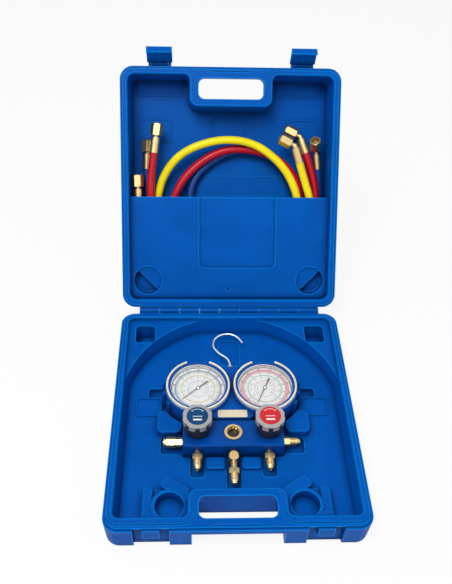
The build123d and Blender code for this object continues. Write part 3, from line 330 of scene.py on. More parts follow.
def moulded_plastic(name, colour, roughness, grain=1100.0, grain_depth=0.00006, edge=0.0012, gloss=0.35,
                    edge_wear_and_highlight=0.45):
    """Moulded plastic: fine grain, soft flow mottling, small scuffs, edges paler as wear and painted
    highlight, and grooves darker as painted shade.

    A paler edge keeps the colour's own hue: what the colour has none of stays at nothing."""
    finish = Finish(name, colour, roughness)
    finish.shader.inputs["Specular IOR Level"].default_value = gloss
    flow = finish.noise(14.0, 4.0, 0.55, distortion=0.8)
    tone = finish.mixed(finish.ranged(flow, 0.35, 0.65, 0.0, 1.0), shade(colour, 0.92), shade(colour, 1.07))
    # Wear and painted highlight: sharp convex edges, kept out of grooves, turn paler, up to a colour 1.7
    # times as bright.
    worn_and_highlit_edges = finish.times(finish.edge_mask(edge), finish.openness(GROOVE_REACH / 3, 0.86, 0.97, 0.0, edge_wear_and_highlight))
    tone_worn_and_highlit = finish.mixed(worn_and_highlit_edges, tone, tuple(c * 1.7 + 0.12 if c > 0 else 0.0 for c in colour))
    # Painted shade: the colour darkens towards 0.45 of itself where near walls close in a groove or corner.
    clear_of_painted_shade = finish.openness(GROOVE_REACH, 0.5, 0.95, 0.0, 1.0)
    finish.base(finish.mixed(clear_of_painted_shade, shade(colour, 0.45), tone_worn_and_highlit))
    finish.roughened(finish.noise(90.0, 5.0, 0.6), roughness - 0.08, roughness + 0.1)
    finish.bumped(finish.noise(grain, 2.0, 0.5), grain_depth)
    finish.bumped(finish.noise(38.0, 2.0, 0.5), grain_depth * 3, 0.5)
    return finish.material


def polished_metal(name, colour, roughness, tarnish, amount):
    """Machined metal: fine tool marks, patches of tarnish up to an amount, and uneven polish."""
    finish = Finish(name, colour, roughness, 1.0)
    stain = finish.noise(120.0, 5.0, 0.6, distortion=0.4)
    finish.base(finish.mixed(finish.ranged(stain, 0.45, 0.8, 0.0, amount), colour, tarnish))
    marks = finish.noise(900.0, 3.0, 0.5)
    finish.roughened(marks, roughness - 0.07, roughness + 0.12)
    finish.bumped(marks, 0.00003, 0.6)
    return finish.material


def coated_rubber(name, colour):
    """Extruded hose cover: a slightly glossy skin with fine pits and uneven shine."""
    finish = Finish(name, colour, HOSE_ROUGHNESS)
    finish.shader.inputs["Specular IOR Level"].default_value = 0.3
    finish.shader.inputs["Coat Weight"].default_value = 0.1
    finish.shader.inputs["Coat Roughness"].default_value = 0.2
    tone = finish.noise(45.0, 3.0, 0.5)
    patches = finish.ranged(tone, 0.35, 0.65, 0.0, 1.0)
    finish.base(finish.mixed(patches, shade(colour, 0.9), shade(colour, 1.05)))
    finish.roughened(finish.noise(300.0, 3.0, 0.5), HOSE_ROUGHNESS - 0.06, HOSE_ROUGHNESS + 0.1)
    finish.bumped(finish.noise(700.0, 2.0, 0.5), 0.00005)
    return finish.material


def ringed_dial(name, centre, rings, ground):
    """A printed dial: the colour depends on the distance from the dial's centre, in constant steps, as
    rings (inner radius, outer radius, colour) on a plain ground. The sheet is a little soiled."""
    finish = Finish(name, ground, 0.5)
    place = finish.moved(location=(-centre[0] * MM, -centre[1] * MM, 0), scale=(1, 1, 0))
    length = finish.node("ShaderNodeVectorMath", operation="LENGTH")
    finish.link(place, length.inputs[0])
    reach = finish.ranged(length.outputs["Value"], 0.0, DIAL_R * MM, 0.0, 1.0)
    ramp = finish.node("ShaderNodeValToRGB")
    ramp.color_ramp.interpolation = "CONSTANT"
    steps = ramp.color_ramp.elements
    steps[0].position, steps[0].color = 0.0, (*ground, 1.0)
    steps.remove(steps[1])
    for inner, outer, colour in rings:
        steps.new(inner / DIAL_R).color = (*colour, 1.0)
        steps.new(outer / DIAL_R).color = (*ground, 1.0)
    finish.link(reach, ramp.inputs[0])
    soil = finish.ranged(finish.noise(220.0, 4.0), 0.4, 0.7, 0.0, 0.08)
    finish.base(finish.mixed(soil, ramp.outputs[0], shade(ground, 0.7)))
    finish.bumped(finish.noise(1500.0, 2.0), 0.00002, 0.4)
    return finish.material


def clear_glass(name):
    """Flat gauge glass: almost clear, with its surface gloss and a faint whitish veil that is a painted
    reflection.
    """
    finish = Finish(name, (0.9, 0.93, 0.95), 0.06)
    painted_reflection_and_gloss_noise = finish.noise(60.0, 4.0)
    # Painted reflection: 8 to 16 percent of a near-white colour laid over what lies behind the glass.
    finish.link(finish.ranged(painted_reflection_and_gloss_noise, 0.3, 0.7, 0.08, 0.16), finish.shader.inputs["Alpha"])
    finish.roughened(painted_reflection_and_gloss_noise, 0.03, 0.09)
    return finish.material


def dress(material, *names):
    """Gives CAD pieces a finish."""
    for name in names:
        slots = NODES[name].material_slots
        if not slots:
            NODES[name].data.materials.append(material)
        for each in NODES[name].material_slots:
            each.material = material


# ---- settings -----------------------------------------------------------------------------------
def tint(name, description, default):
    """A colour setting."""
    return FloatVectorProperty(name=name, description=description, default=default, subtype="COLOR",
                               size=3, min=0.0, max=1.0)


class CaseSettings(bpy.types.PropertyGroup):
    """Case"""
    plastic: tint("Case plastic", "Colour of the moulded shells, panel and latches", (0.0, 0.092, 0.43))
    roughness: FloatProperty(name="Roughness", description="Dullness of the shells", default=0.4,
                             min=0.05, max=1.0)
    steel: tint("Pins", "Colour of the hinge and latch pins", (0.6, 0.61, 0.62))


class HoseSettings(bpy.types.PropertyGroup):
    """Hoses"""
    radius: FloatProperty(name="Radius", description="Outer radius of the hoses", default=0.0061,
                          unit="LENGTH")
    yellow: tint("Yellow", "Colour of the charging hose", (0.95, 0.77, 0.0))
    red: tint("Red", "Colour of the high side hose", (0.5, 0.0, 0.012))
    blue: tint("Blue", "Colour of the low side hose", (0.0, 0.045, 0.25))


class BrassSettings(bpy.types.PropertyGroup):
    """Brass fittings"""
    brass: tint("Brass", "Colour of the fittings and nuts", (0.70, 0.52, 0.24))
    pitch: FloatProperty(name="Thread pitch", description="Pitch of the flare threads", default=0.00127,
                         unit="LENGTH", precision=5)


class GaugeSettings(bpy.types.PropertyGroup):
    """Gauges and their boot"""
    boot: tint("Boot", "Colour of the rubber boot", (0.0, 0.085, 0.42))
    trim: tint("Trim", "Colour of the trim rings", (0.84, 0.81, 0.68))
    print_ink: tint("Ink", "Colour of the printed scales", (0.05, 0.05, 0.06))
    divisions: IntProperty(name="Divisions", description="Main divisions of each scale", default=10,
                           min=2, max=20)


class ValveSettings(bpy.types.PropertyGroup):
    """Valve block and knobs"""
    block: tint("Block", "Colour of the painted valve block", (0.0, 0.066, 0.35))
    grip: tint("Grip", "Colour of the knob bodies", (0.02, 0.022, 0.03))
    crown: tint("Crown", "Colour of the lobed knob crowns", (0.40, 0.39, 0.385))


class StageSettings(bpy.types.PropertyGroup):
    """Stage"""
    floor: tint("Floor", "Colour of the floor", (0.9, 0.9, 0.9))
    lens: FloatProperty(name="Lens", description="Focal length on a 36 mm high sensor", default=44.096,
                        unit="CAMERA")


# ---- hoses --------------------------------------------------------------------------------------
# Control points of each hose in the open lid, millimetres: x, distance from the hinge, depth below the
# rim. Each starts at its bent end, turns round behind the panel, comes up in the arc above it, goes down
# again and ends at its straight end. The yellow arc lies in front and the blue one at the back.
ROUTES = {
    "yellow": (
        (107.5, 228, 21.2), (116, 202, 24.2), (125, 174, 24.2), (133, 140, 24.2), (134, 106, 27.2),
        (115, 79, 36.8), (88, 50, 36.8), (56, 34, 36.8), (19, 28, 36.8), (-20, 28.5, 36.8), (-56, 37, 36.8),
        (-90, 56, 36.8), (-112, 86, 36.8), (-118.5, 120, 36.8), (-116, 150, 36.8), (-111, 177, 36.8),
        (-104, 204, 34.8), (-85, 232, 27.2), (-59, 249.5, 24.2), (-27, 259.5, 24.2), (-2, 262, 24.2),
        (24, 259.5, 24.2), (50, 249.5, 24.2), (77, 228, 24.2), (95, 203, 24.2), (106, 174, 24.2),
        (108, 140, 24.2), (101, 106, 24.2), (84, 74, 24.2), (56, 49, 24.2), (20, 37, 24.2),
        (-20, 37.5, 24.2), (-58, 47, 24.2), (-94, 65, 24.2), (-121, 90, 24.2), (-136, 119, 24.2),
        (-140.4, 144, 24.2), (-140.9, 163, 24.2)),
    "red": (
        (119, 243, 38.3), (129.5, 213, 36.8), (137, 178, 36.8), (132, 142, 36.8), (112, 107, 36.8),
        (86, 77, 36.8), (52, 56, 36.8), (14, 47, 36.8), (-26, 46, 36.8), (-64, 57, 36.8), (-92, 84, 36.8),
        (-98, 118, 36.8), (-94, 148, 36.8), (-86, 175, 36.8), (-73, 201, 36.8), (-52, 223, 36.8),
        (-25, 240.5, 36.8), (2, 248.5, 36.8), (28, 248, 36.8), (52, 243.5, 36.8), (76, 233, 36.8),
        (96, 215, 36.8), (108, 194, 36.8), (112, 168, 36.8), (104, 140, 36.8), (86, 110, 34.8),
        (58, 84, 24.2), (27, 70, 24.2), (-9, 65.5, 24.2), (-46, 70, 24.2), (-82, 84, 24.2),
        (-108, 108, 24.2), (-120, 140, 24.2), (-122.5, 174, 24.2), (-121, 210, 24.2), (-116.8, 241, 24.2)),
    "blue": (
        (139.5, 219, 45.4), (143, 190, 49.4), (143.5, 158, 49.4), (142, 126, 49.4), (133, 96, 49.4),
        (108, 77, 49.4), (80, 50, 49.4), (46, 41, 49.4), (14, 52, 49.4), (-12, 78, 49.4), (-36, 110, 49.4),
        (-55, 141, 49.4), (-64, 175, 49.4), (-53, 208, 49.4), (-24, 233, 49.4), (9, 246, 49.4),
        (43, 245, 49.4), (74, 231, 49.4), (97, 207, 49.4), (108, 176, 49.4), (109, 144, 49.4),
        (100, 114, 49.4), (80, 91, 49.4), (54, 77, 45.4), (24, 71, 36.8), (-8, 73, 36.8), (-42, 81, 38.8),
        (-74, 92, 48.4), (-103, 108, 49.4), (-121, 136, 49.4), (-129, 168, 49.4), (-129.5, 200, 48.4),
        (-129, 217, 47.4)),
}


def in_open_lid(points):
    """Points (x, distance from the hinge, depth below the rim) of the open lid, in the part's axes: they
    are laid out as in the shut lid and turned about the hinge's axis by the angle that it stands open."""
    points = np.asarray(points, float)
    y, z = -points[:, 1], LID_Z + points[:, 2] - HINGE_Z
    c, s = np.cos(-LID_OPEN), np.sin(-LID_OPEN)
    return np.stack([points[:, 0], HINGE_Y + y * c - z * s, HINGE_Z + y * s + z * c], -1)


def hose_curve(name, route, radius, material):
    """A hose as one smooth spline: a quadratic NURBS whose control points are the route's. Gives the
    piece and its control points in metres."""
    curve = bpy.data.curves.new(name, "CURVE")
    curve.dimensions, curve.bevel_depth, curve.bevel_resolution = "3D", radius, 6
    curve.resolution_u, curve.use_fill_caps = 10, True
    points = in_open_lid(route) * MM
    spline = curve.splines.new("NURBS")
    spline.points.add(len(points) - 1)
    spline.points.foreach_set("co", np.c_[points, np.ones(len(points))].ravel())
    spline.order_u = 3
    spline.use_endpoint_u = True
    curve.materials.append(material)
    piece = bpy.data.objects.new(name, curve)
    bpy.context.scene.collection.objects.link(piece)
    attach(piece, "lid")
    return piece, points


class LayHoses(bpy.types.Operator):
    """Lays the three hoses in the lid and hides the CAD hoses"""
    bl_idname = "gaugeset.lay_hoses"
    bl_label = "Lay hoses"

    def execute(self, context):
        settings = context.scene.hose_settings
        for colour in HOSES:
            rubber = coated_rubber(f"{colour}_hose_rubber", tuple(getattr(settings, colour)))
            piece, points = hose_curve(f"{colour}_hose", ROUTES[colour], settings.radius, rubber)
            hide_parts(f"hose_{colour}")
        return {"FINISHED"}


# ---- brass --------------------------------------------------------------------------------------
THREADS = {"port_thread_left": ((-50.0, -70.0, 20.5), (0, -1, 0)),
           "port_thread_right": ((46.0, -70.0, 20.5), (0, -1, 0)),
           "centre_port_thread": ((-2.0, -92.0, 20.5), (0, -1, 0)),
           "side_port_thread": ((74.5, -42.0, 20.5), (1, 0, 0))}      # where each starts, and its direction
THREAD_LONG, THREAD_R, THREAD_HIGH = 9.5, 5.5, 0.28


class DressBrass(bpy.types.Operator):
    """Finishes the brass fittings, nuts and sleeves and cuts the flare threads"""
    bl_idname = "gaugeset.dress_brass"
    bl_label = "Dress brass"

    def execute(self, context):
        settings = context.scene.brass_settings
        brass = polished_metal("machined_brass", tuple(settings.brass), roughness=0.33,
                               tarnish=(0.5, 0.38, 0.18), amount=0.6)
        dress(brass, "port_fittings", "valve_cores", "side_fitting_left", "side_fitting_right", "side_cap",
              "centre_tee", "valve_bonnets", "sight_glass_ring", "bourdon_tubes", "movement_frames",
              "hook_ferrule", "valve_piston_left", "valve_piston_right", "pinion_arbor_low",
              "pinion_arbor_high", "sector_gear_low", "sector_gear_high",
              *[f"{kind}_{colour}" for kind in HOSE_ENDS for colour in HOSES])
        for name, (start, axis) in THREADS.items():
            ridge = helix_ridge(start, axis, THREAD_LONG, THREAD_R, settings.pitch / MM, THREAD_HIGH)
            new_piece(name, *ridge, brass, "manifold", "brass")
        return {"FINISHED"}


# ---- case ---------------------------------------------------------------------------------------
# The lid's panel and what is in it: x, distance from the hinge, depth below the rim.
PANEL_SIDE, PANEL_LOW, PANEL_HIGH = 152.6, 18.6, 174.2
PANEL_FACE, PANEL_STEP, PANEL_BACK = 14.0, 16.4, 17.2
PANEL_CORNERS, PANEL_TIPS = 13.0, 1.5
RECESS_LEFT, RECESS_RIGHT, RECESS_LOW, RECESS_CORNERS = -47.1, 71.1, 65.0, 11.0
DIMPLE_AT, DIMPLE_R = (-1.7, 31.8), 2.6
CUP_AT, CUP_R, CUP_WALL, CUP_BOTTOM, CUP_FOOT = (126.5, 45.0), 21.4, 2.0, 31.0, 57.7
CUP_HALF_TOP, CUP_HALF_SOFT = PANEL_FACE + 2.5, 0.9
PLATE_SOFT = 0.35

# Raised lines round the fields in the lid and in the tray: middle x, middle y, width, depth.
LID_FIELDS = ((-116, 277, 48, 34), (-1, 277, 50, 34), (115, 277, 49, 34), (-108, 341, 68, 22),
              (108, 341, 68, 22))
TRAY_FIELDS = ((-118.5, 22.8, 35, 30), (118.5, 22.8, 35, 30))
LINE_WIDTH, LINE_CORNERS, LINE_SOFT = 1.8, 5.0, 0.4
LID_LINES, TRAY_LINES = (56.8, 58.6), (11.4, 13.3)       # between which depths, and which heights

# The lip on the lid that closes the hinge's slots: an arc about the hinge's axis.
LIP_INNER, LIP_OUTER, LIP_TO, LIP_SIDE = 4.12, 5.1, np.radians(40), 138.8


def rounded_outline(corners, steps=8):
    """A closed outline from corners (x, y, round): each corner C between the points A and B, which lie
    a length round before and behind it, becomes P(t) = (1 - t)^2 A + 2 t (1 - t) C + t^2 B."""
    corners = np.asarray(corners, float)
    here, back = corners[:, :2], corners[:, 2:]
    start = here + unit(np.roll(here, 1, 0) - here) * back
    end = here + unit(np.roll(here, -1, 0) - here) * back
    t = np.linspace(0, 1, steps)[None, :, None]
    arcs = (1 - t) ** 2 * start[:, None] + 2 * t * (1 - t) * here[:, None] + t ** 2 * end[:, None]
    return arcs.reshape(-1, 2)


def circle_outline(x, y, radius, start=0.0, end=360.0, steps=64):
    """Points of a circle or of an arc, (x + radius cos a, y + radius sin a), with a in degrees."""
    a = np.radians(np.linspace(start, end, steps, endpoint=end - start < 360))
    return np.stack([x + radius * np.cos(a), y + radius * np.sin(a)], -1)


def soft_plate(outlines, low, high, soften=PLATE_SOFT):
    """A flat plate between two heights, cut by closed outlines, inner ones being holes, with rounded
    edges that bulge past the outline by their own radius."""
    curve = bpy.data.curves.new("plate", "CURVE")
    curve.dimensions, curve.fill_mode = "2D", "BOTH"
    curve.extrude, curve.bevel_depth, curve.bevel_resolution = (high - low) / 2 - soften, soften, 2
    for outline in outlines:
        spline = curve.splines.new("POLY")
        spline.points.add(len(outline) - 1)
        spline.points.foreach_set("co", np.c_[outline, np.zeros(len(outline)), np.ones(len(outline))].ravel())
        spline.use_cyclic_u = True
    holder = bpy.data.objects.new("plate", curve)
    mesh = bpy.data.meshes.new_from_object(holder)
    points = np.empty(len(mesh.vertices) * 3)
    mesh.vertices.foreach_get("co", points)
    faces = [tuple(polygon.vertices) for polygon in mesh.polygons]
    bpy.data.objects.remove(holder)
    bpy.data.curves.remove(curve)
    bpy.data.meshes.remove(mesh)
    return points.reshape(-1, 3) + [0, 0, (low + high) / 2], faces


def raised_lines(fields, low, high):
    """Lines along rounded rectangles, each a soft plate between an outer and an inner loop whose corners
    are (x +- half width, y +- half depth)."""
    shapes = []
    for x, y, width, depth in fields:
        loops = []
        for inset in (-LINE_WIDTH / 2, LINE_WIDTH / 2):
            w, d = width / 2 - inset, depth / 2 - inset
            corners = [(x - w, y - d), (x + w, y - d), (x + w, y + d), (x - w, y + d)]
            loops.append(rounded_outline([(*corner, LINE_CORNERS) for corner in corners]))
        shapes.append(soft_plate(loops, low, high, LINE_SOFT))
    return joined(*shapes)


def on_lid(points, faces):
    """A shape in the open lid's terms carried to the part's axes, with its faces turned outwards again."""
    return in_open_lid(points), [face[::-1] for face in faces]


def pocket_panel():
    """The lid's inner panel: a face with a shallow recess and a dimple, a backing sheet, and two round
    cups, each a turned profile with a rounded bottom corner and with one half of its bottom raised."""
    sheet = [(-PANEL_SIDE, PANEL_LOW, PANEL_CORNERS), (PANEL_SIDE, PANEL_LOW, PANEL_CORNERS),
             (PANEL_SIDE, PANEL_HIGH, PANEL_TIPS), (-PANEL_SIDE, PANEL_HIGH, PANEL_TIPS)]
    recess = [(RECESS_RIGHT, PANEL_HIGH, 1), (RECESS_RIGHT, RECESS_LOW, RECESS_CORNERS),
              (RECESS_LEFT, RECESS_LOW, RECESS_CORNERS), (RECESS_LEFT, PANEL_HIGH, 1)]
    face = sheet[:3] + recess + sheet[3:]
    holes = [circle_outline(x, CUP_AT[1], CUP_R + PLATE_SOFT) for x in (-CUP_AT[0], CUP_AT[0])]
    dimple = circle_outline(*DIMPLE_AT, DIMPLE_R)
    shapes = [soft_plate([rounded_outline(face), *holes, dimple], PANEL_FACE, PANEL_STEP),
              soft_plate([rounded_outline(sheet), *holes], PANEL_STEP - 0.1, PANEL_BACK)]
    wall = [(0, CUP_BOTTOM), (CUP_R - 3, CUP_BOTTOM), (CUP_R - 0.6, CUP_BOTTOM - 1.2),
            (CUP_R, CUP_BOTTOM - 3), (CUP_R, PANEL_STEP), (CUP_R + CUP_WALL, PANEL_STEP),
            (CUP_R + CUP_WALL, CUP_FOOT), (0, CUP_FOOT)]
    for x, start in ((-CUP_AT[0], -45.0), (CUP_AT[0], 45.0)):
        shapes.append(revolved(wall, np.array([x, CUP_AT[1], 0.0]), 72))
        half = circle_outline(x, CUP_AT[1], CUP_R - 0.7, start + 2, start + 178, 40)
        shapes.append(soft_plate([half], CUP_HALF_TOP, CUP_BOTTOM - 0.5, CUP_HALF_SOFT))
    return on_lid(*joined(*shapes))


def hinge_lip():
    """The lid's lip: a band of an arc about the hinge's axis, drawn out along X."""
    band = arc_band((HINGE_Y, HINGE_Z), 0.0, LIP_TO, LIP_INNER, LIP_OUTER, 10)
    points, faces = prisms(band, -LIP_SIDE, LIP_SIDE)
    return points[:, [2, 0, 1]], faces


class DressCase(bpy.types.Operator):
    """Finishes the moulded case, its panel and latches, and the steel pins and valve stems"""
    bl_idname = "gaugeset.dress_case"
    bl_label = "Dress case"

    def execute(self, context):
        settings = context.scene.case_settings
        colour, roughness = tuple(settings.plastic), settings.roughness
        # Edges paler at full amount, as wear and mostly painted highlight, and painted shade in the grooves.
        plastic = moulded_plastic("case_plastic", colour, roughness, edge=0.003, gloss=0.05, edge_wear_and_highlight=1.0)
        dress(plastic, "case_base", "case_lid", "lid_pocket_panel", "latch_left", "latch_right")
        dress(polished_metal("pin_steel", tuple(settings.steel), 0.3, (0.4, 0.38, 0.36), 0.2),
              "hinge_pin", "latch_pins", "valve_stem_left", "valve_stem_right")
        panel = new_piece("pocket_panel", *pocket_panel(), plastic, "lid", "case_plastic", smooth=False)
        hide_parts("lid_pocket_panel")
        new_piece("lid_hinge_lip", *hinge_lip(), plastic, "lid", "case_plastic", smooth=False)
        # A weaker painted highlight on the raised lines' edges, with the same painted shade in their grooves.
        line = moulded_plastic("moulded_line", colour, roughness, gloss=0.05, edge_wear_and_highlight=0.3)
        lid_lines = on_lid(*raised_lines(LID_FIELDS, *LID_LINES))
        new_piece("lid_beads", *lid_lines, line, "lid", "case_plastic", smooth=False)
        tray_lines = raised_lines(TRAY_FIELDS, *TRAY_LINES)
        new_piece("tray_beads", *tray_lines, line, "base", "case_plastic", smooth=False)
        return {"FINISHED"}


# ---- gauges -------------------------------------------------------------------------------------
# Printed rings of the dials: inner radius, outer radius, colour.
RINGS = {"low": ((13.8, 15.0, (0.50, 0.50, 0.74)), (22.6, 24.6, (0.74, 0.62, 0.26)),
                 (30.4, 33.4, (0.22, 0.30, 0.40)), (36.7, 37.3, (0.08, 0.08, 0.09))),
         "high": ((13.8, 15.0, (0.78, 0.45, 0.45)), (22.8, 24.6, (0.36, 0.56, 0.40)),
                  (29.8, 34.6, (0.78, 0.30, 0.30)), (36.7, 37.3, (0.08, 0.08, 0.09)))}

# Scales of the dials: where they start and how far they turn, in degrees, and each scale's top value.
SWEEPS = {"low": (221.0, 263.0), "high": (246.0, 288.0)}
TOP_VALUES = {"low": (250, 17, 80, 50), "high": (500, 35, 120, 80)}

# Each scale: outer and inner ends of its strokes, radius and size of its numbers, strokes to a division.
SCALES = ((36.6, 35.0, 33.9, 3.0, 5), (30.3, 28.9, 26.8, 2.9, 5), (22.5, 21.3, 19.3, 2.4, 4),
          (13.7, 12.8, 10.6, 2.0, 2))
FINE_STROKE, MAIN_STROKE, SCALE_LINE = 0.24, 0.5, (29.0, 29.2)
HUB = ((0, 40.6), (2.2, 40.6), (2.4, 41.9), (2.0, 42.5), (1.0, 42.8), (0, 42.85))      # radius, height


def scale_print(centre, start, sweep, divisions, top_values):
    """All the ink of one dial: strokes and numbers of four scales that share one sweep.

    Stroke k stands at angle start - sweep k / n; the numbers stand upright to the radius."""
    shapes = []
    for (outer, inner, at, size, small), top in zip(SCALES, top_values):
        small_at = np.radians(start - sweep * np.linspace(0, 1, divisions * small + 1))
        main_at = np.radians(start - sweep * np.linspace(0, 1, divisions + 1))
        ticks = np.concatenate([tick_marks(centre, small_at, (inner + outer) / 2, outer, FINE_STROKE),
                                tick_marks(centre, main_at, inner, outer, MAIN_STROKE)])
        shapes.append(prisms(ticks, DIAL_TOP, DIAL_TOP + INK))
        words = [str(int(round(top * k / divisions))) for k in range(divisions + 1)]
        places = np.stack([np.cos(main_at), np.sin(main_at)], -1) * at + centre
        shapes.append(figures(words, places, main_at - np.pi / 2, size, DIAL_TOP + NUMBERS_AT))
    line = arc_band(centre, np.radians(start), np.radians(start - sweep), *SCALE_LINE, 96)
    shapes.append(prisms(line, DIAL_TOP, DIAL_TOP + INK))
    return joined(*shapes)


class DressGauges(bpy.types.Operator):
    """Finishes the gauges and their boot and prints the dials"""
    bl_idname = "gaugeset.dress_gauges"
    bl_label = "Dress gauges"

    def execute(self, context):
        settings = context.scene.gauge_settings
        boot = moulded_plastic("boot_rubber", tuple(settings.boot), 0.5, 1600.0, 0.00004, 0.0008, gloss=0.12)
        trim = moulded_plastic("trim_ring_plastic", tuple(settings.trim), 0.38, 900.0, 0.00003, 0.0006)
        plate = moulded_plastic("blank_plate", (0.80, 0.71, 0.52), 0.35, 900.0, 0.00003, 0.0005)
        bezel = polished_metal("plated_bezel", (0.72, 0.73, 0.74), 0.14, (0.4, 0.4, 0.42), 0.15)
        steel = polished_metal("gauge_steel", (0.62, 0.62, 0.63), 0.3, (0.4, 0.4, 0.42), 0.25)
        wire = polished_metal("hook_steel", (0.93, 0.94, 0.96), 0.34, (0.7, 0.71, 0.74), 0.2)
        for finish, name in ((boot, "boot_shell"), (trim, "boot_trims"), (plate, "label_plate"),
                             (bezel, "gauge_bezels"), (steel, "gauge_cases"), (wire, "hook_wire"),
                             (clear_glass("gauge_glass"), "gauge_glasses")):
            dress(finish, name)
        dress(moulded_plastic("pointer_paint", (0.03, 0.03, 0.035), 0.4, 1500.0, 0.00002, 0.0002),
              "gauge_needle_low", "gauge_needle_high")
        ink = moulded_plastic("dial_ink", tuple(settings.print_ink), 0.6, 2000.0, 0.00001, 0.0001)
        silver = polished_metal("hub_metal", (0.78, 0.78, 0.78), 0.2, (0.5, 0.5, 0.5), 0.1)
        for side, middle in GAUGES.items():
            centre = np.array(middle)
            face = ringed_dial(f"{side}_dial_face", centre, RINGS[side], (0.88, 0.89, 0.88))
            dress(face, f"gauge_dial_{side}")
            ink_shape = scale_print(centre, *SWEEPS[side], settings.divisions, TOP_VALUES[side])
            new_piece(f"{side}_dial_print", *ink_shape, ink, "manifold", "dial_white", smooth=False)
            hub = revolved(HUB, np.array([*centre, 0.0]), 32)
            new_piece(f"{side}_needle_hub", *hub, silver, f"needle_{side}", "gauge_metal")
        return {"FINISHED"}


# ---- valves -------------------------------------------------------------------------------------
# Marks on the knobs' caps: an arc with an end stroke on each side, and two bars under it.
MARK_ENDS, MARK_ARC, MARK_END_STROKE = np.radians([48.0, 132.0]), (10.2, 10.8), (9.2, 11.8, 0.7)
MARK_BARS = ((-1.0, 13.0, 0.9), (-6.2, 11.5, 2.6))


class DressValves(bpy.types.Operator):
    """Finishes the valve block, the sight glass and the knobs"""
    bl_idname = "gaugeset.dress_valves"
    bl_label = "Dress valves"

    def execute(self, context):
        settings = context.scene.valve_settings
        paint = moulded_plastic("block_paint", tuple(settings.block), 0.34, 1400.0, 0.00003, 0.0007,
                                gloss=0.12)
        grip = moulded_plastic("knob_grip", tuple(settings.grip), 0.45, 1200.0, 0.00005, 0.0008)
        crown = moulded_plastic("knob_crown_plastic", tuple(settings.crown), 0.4, 1200.0, 0.00004, 0.0007)
        blue = moulded_plastic("blue_cap", (0.0, 0.055, 0.17), 0.25, 900.0, 0.00001, 0.0004, gloss=0.2)
        red = moulded_plastic("red_cap", (0.62, 0.012, 0.02), 0.25, 900.0, 0.00001, 0.0004)
        # Painted shade: the sight glass lens is near-black, standing for the unlit inside of the block seen
        # through the glass.
        lens = moulded_plastic("sight_glass", (0.012, 0.014, 0.016), 0.08, 900.0, 0.00001, 0.0002, gloss=0.5)
        white = moulded_plastic("cap_ink", (0.85, 0.85, 0.83), 0.4, 900.0, 0.00001, 0.0002)
        dress(paint, "manifold_block")
        dress(grip, "knob_body_left", "knob_body_right")
        dress(crown, "knob_crown_left", "knob_crown_right")
        dress(blue, "knob_cap_left")
        dress(red, "knob_cap_right")
        dress(lens, "sight_glass_lens")
        for side, centre in KNOBS.items():
            marks = np.concatenate([arc_band(centre, *MARK_ENDS, *MARK_ARC, 24),
                                    tick_marks(centre, MARK_ENDS, *MARK_END_STROKE),
                                    bars(centre, MARK_BARS)])
            new_piece(f"cap_mark_{side}", *prisms(marks, CAP_TOP - INK_SUNK, CAP_TOP + INK), white,
                      f"knob_{side}", "trim_cream", smooth=False)
        return {"FINISHED"}


# ---- stage --------------------------------------------------------------------------------------
# Metres and watts.
CAMERA_AT = (-0.053266, -0.591924, 0.838309)
CAMERA_PITCH, CAMERA_YAW, CAMERA_ROLL = np.radians([44.169, 3.4446, 2.4747])
SENSOR = 36.0
LAMPS = {"key_panel": ((-0.45, -0.6, 1.85), 0.9, 27.0), "fill_panel": ((1.2, -0.9, 1.1), 1.4, 2.0)}
LAMPS_AIM = (0.0, 0.1, 0.1)
FLOOR_REACH, FLOOR_GLOW = 9.0, 0.88      # how white the floor is to the eye
ROOM_LIGHT, ROOM_SEEN = 0.4, 1.0         # the room's strength on the object and to the eye


def seen_or_mirrored(tree):
    """1 for a ray from the eye, off something shiny or through glass, 0 for the rest."""
    rays = tree.nodes.new("ShaderNodeLightPath")
    found = rays.outputs["Is Camera Ray"]
    for kind in ("Is Glossy Ray", "Is Transmission Ray"):
        either = tree.nodes.new("ShaderNodeMath")
        either.operation = "MAXIMUM"
        tree.links.new(found, either.inputs[0])
        tree.links.new(rays.outputs[kind], either.inputs[1])
        found = either.outputs[0]
    return found


def set_place(holder, x, y, z, place):
    """Gives an object its axes and place."""
    matrix = np.eye(4)
    matrix[:3, 0], matrix[:3, 1], matrix[:3, 2], matrix[:3, 3] = x, y, z, place
    holder.matrix_world = Matrix(matrix.tolist())


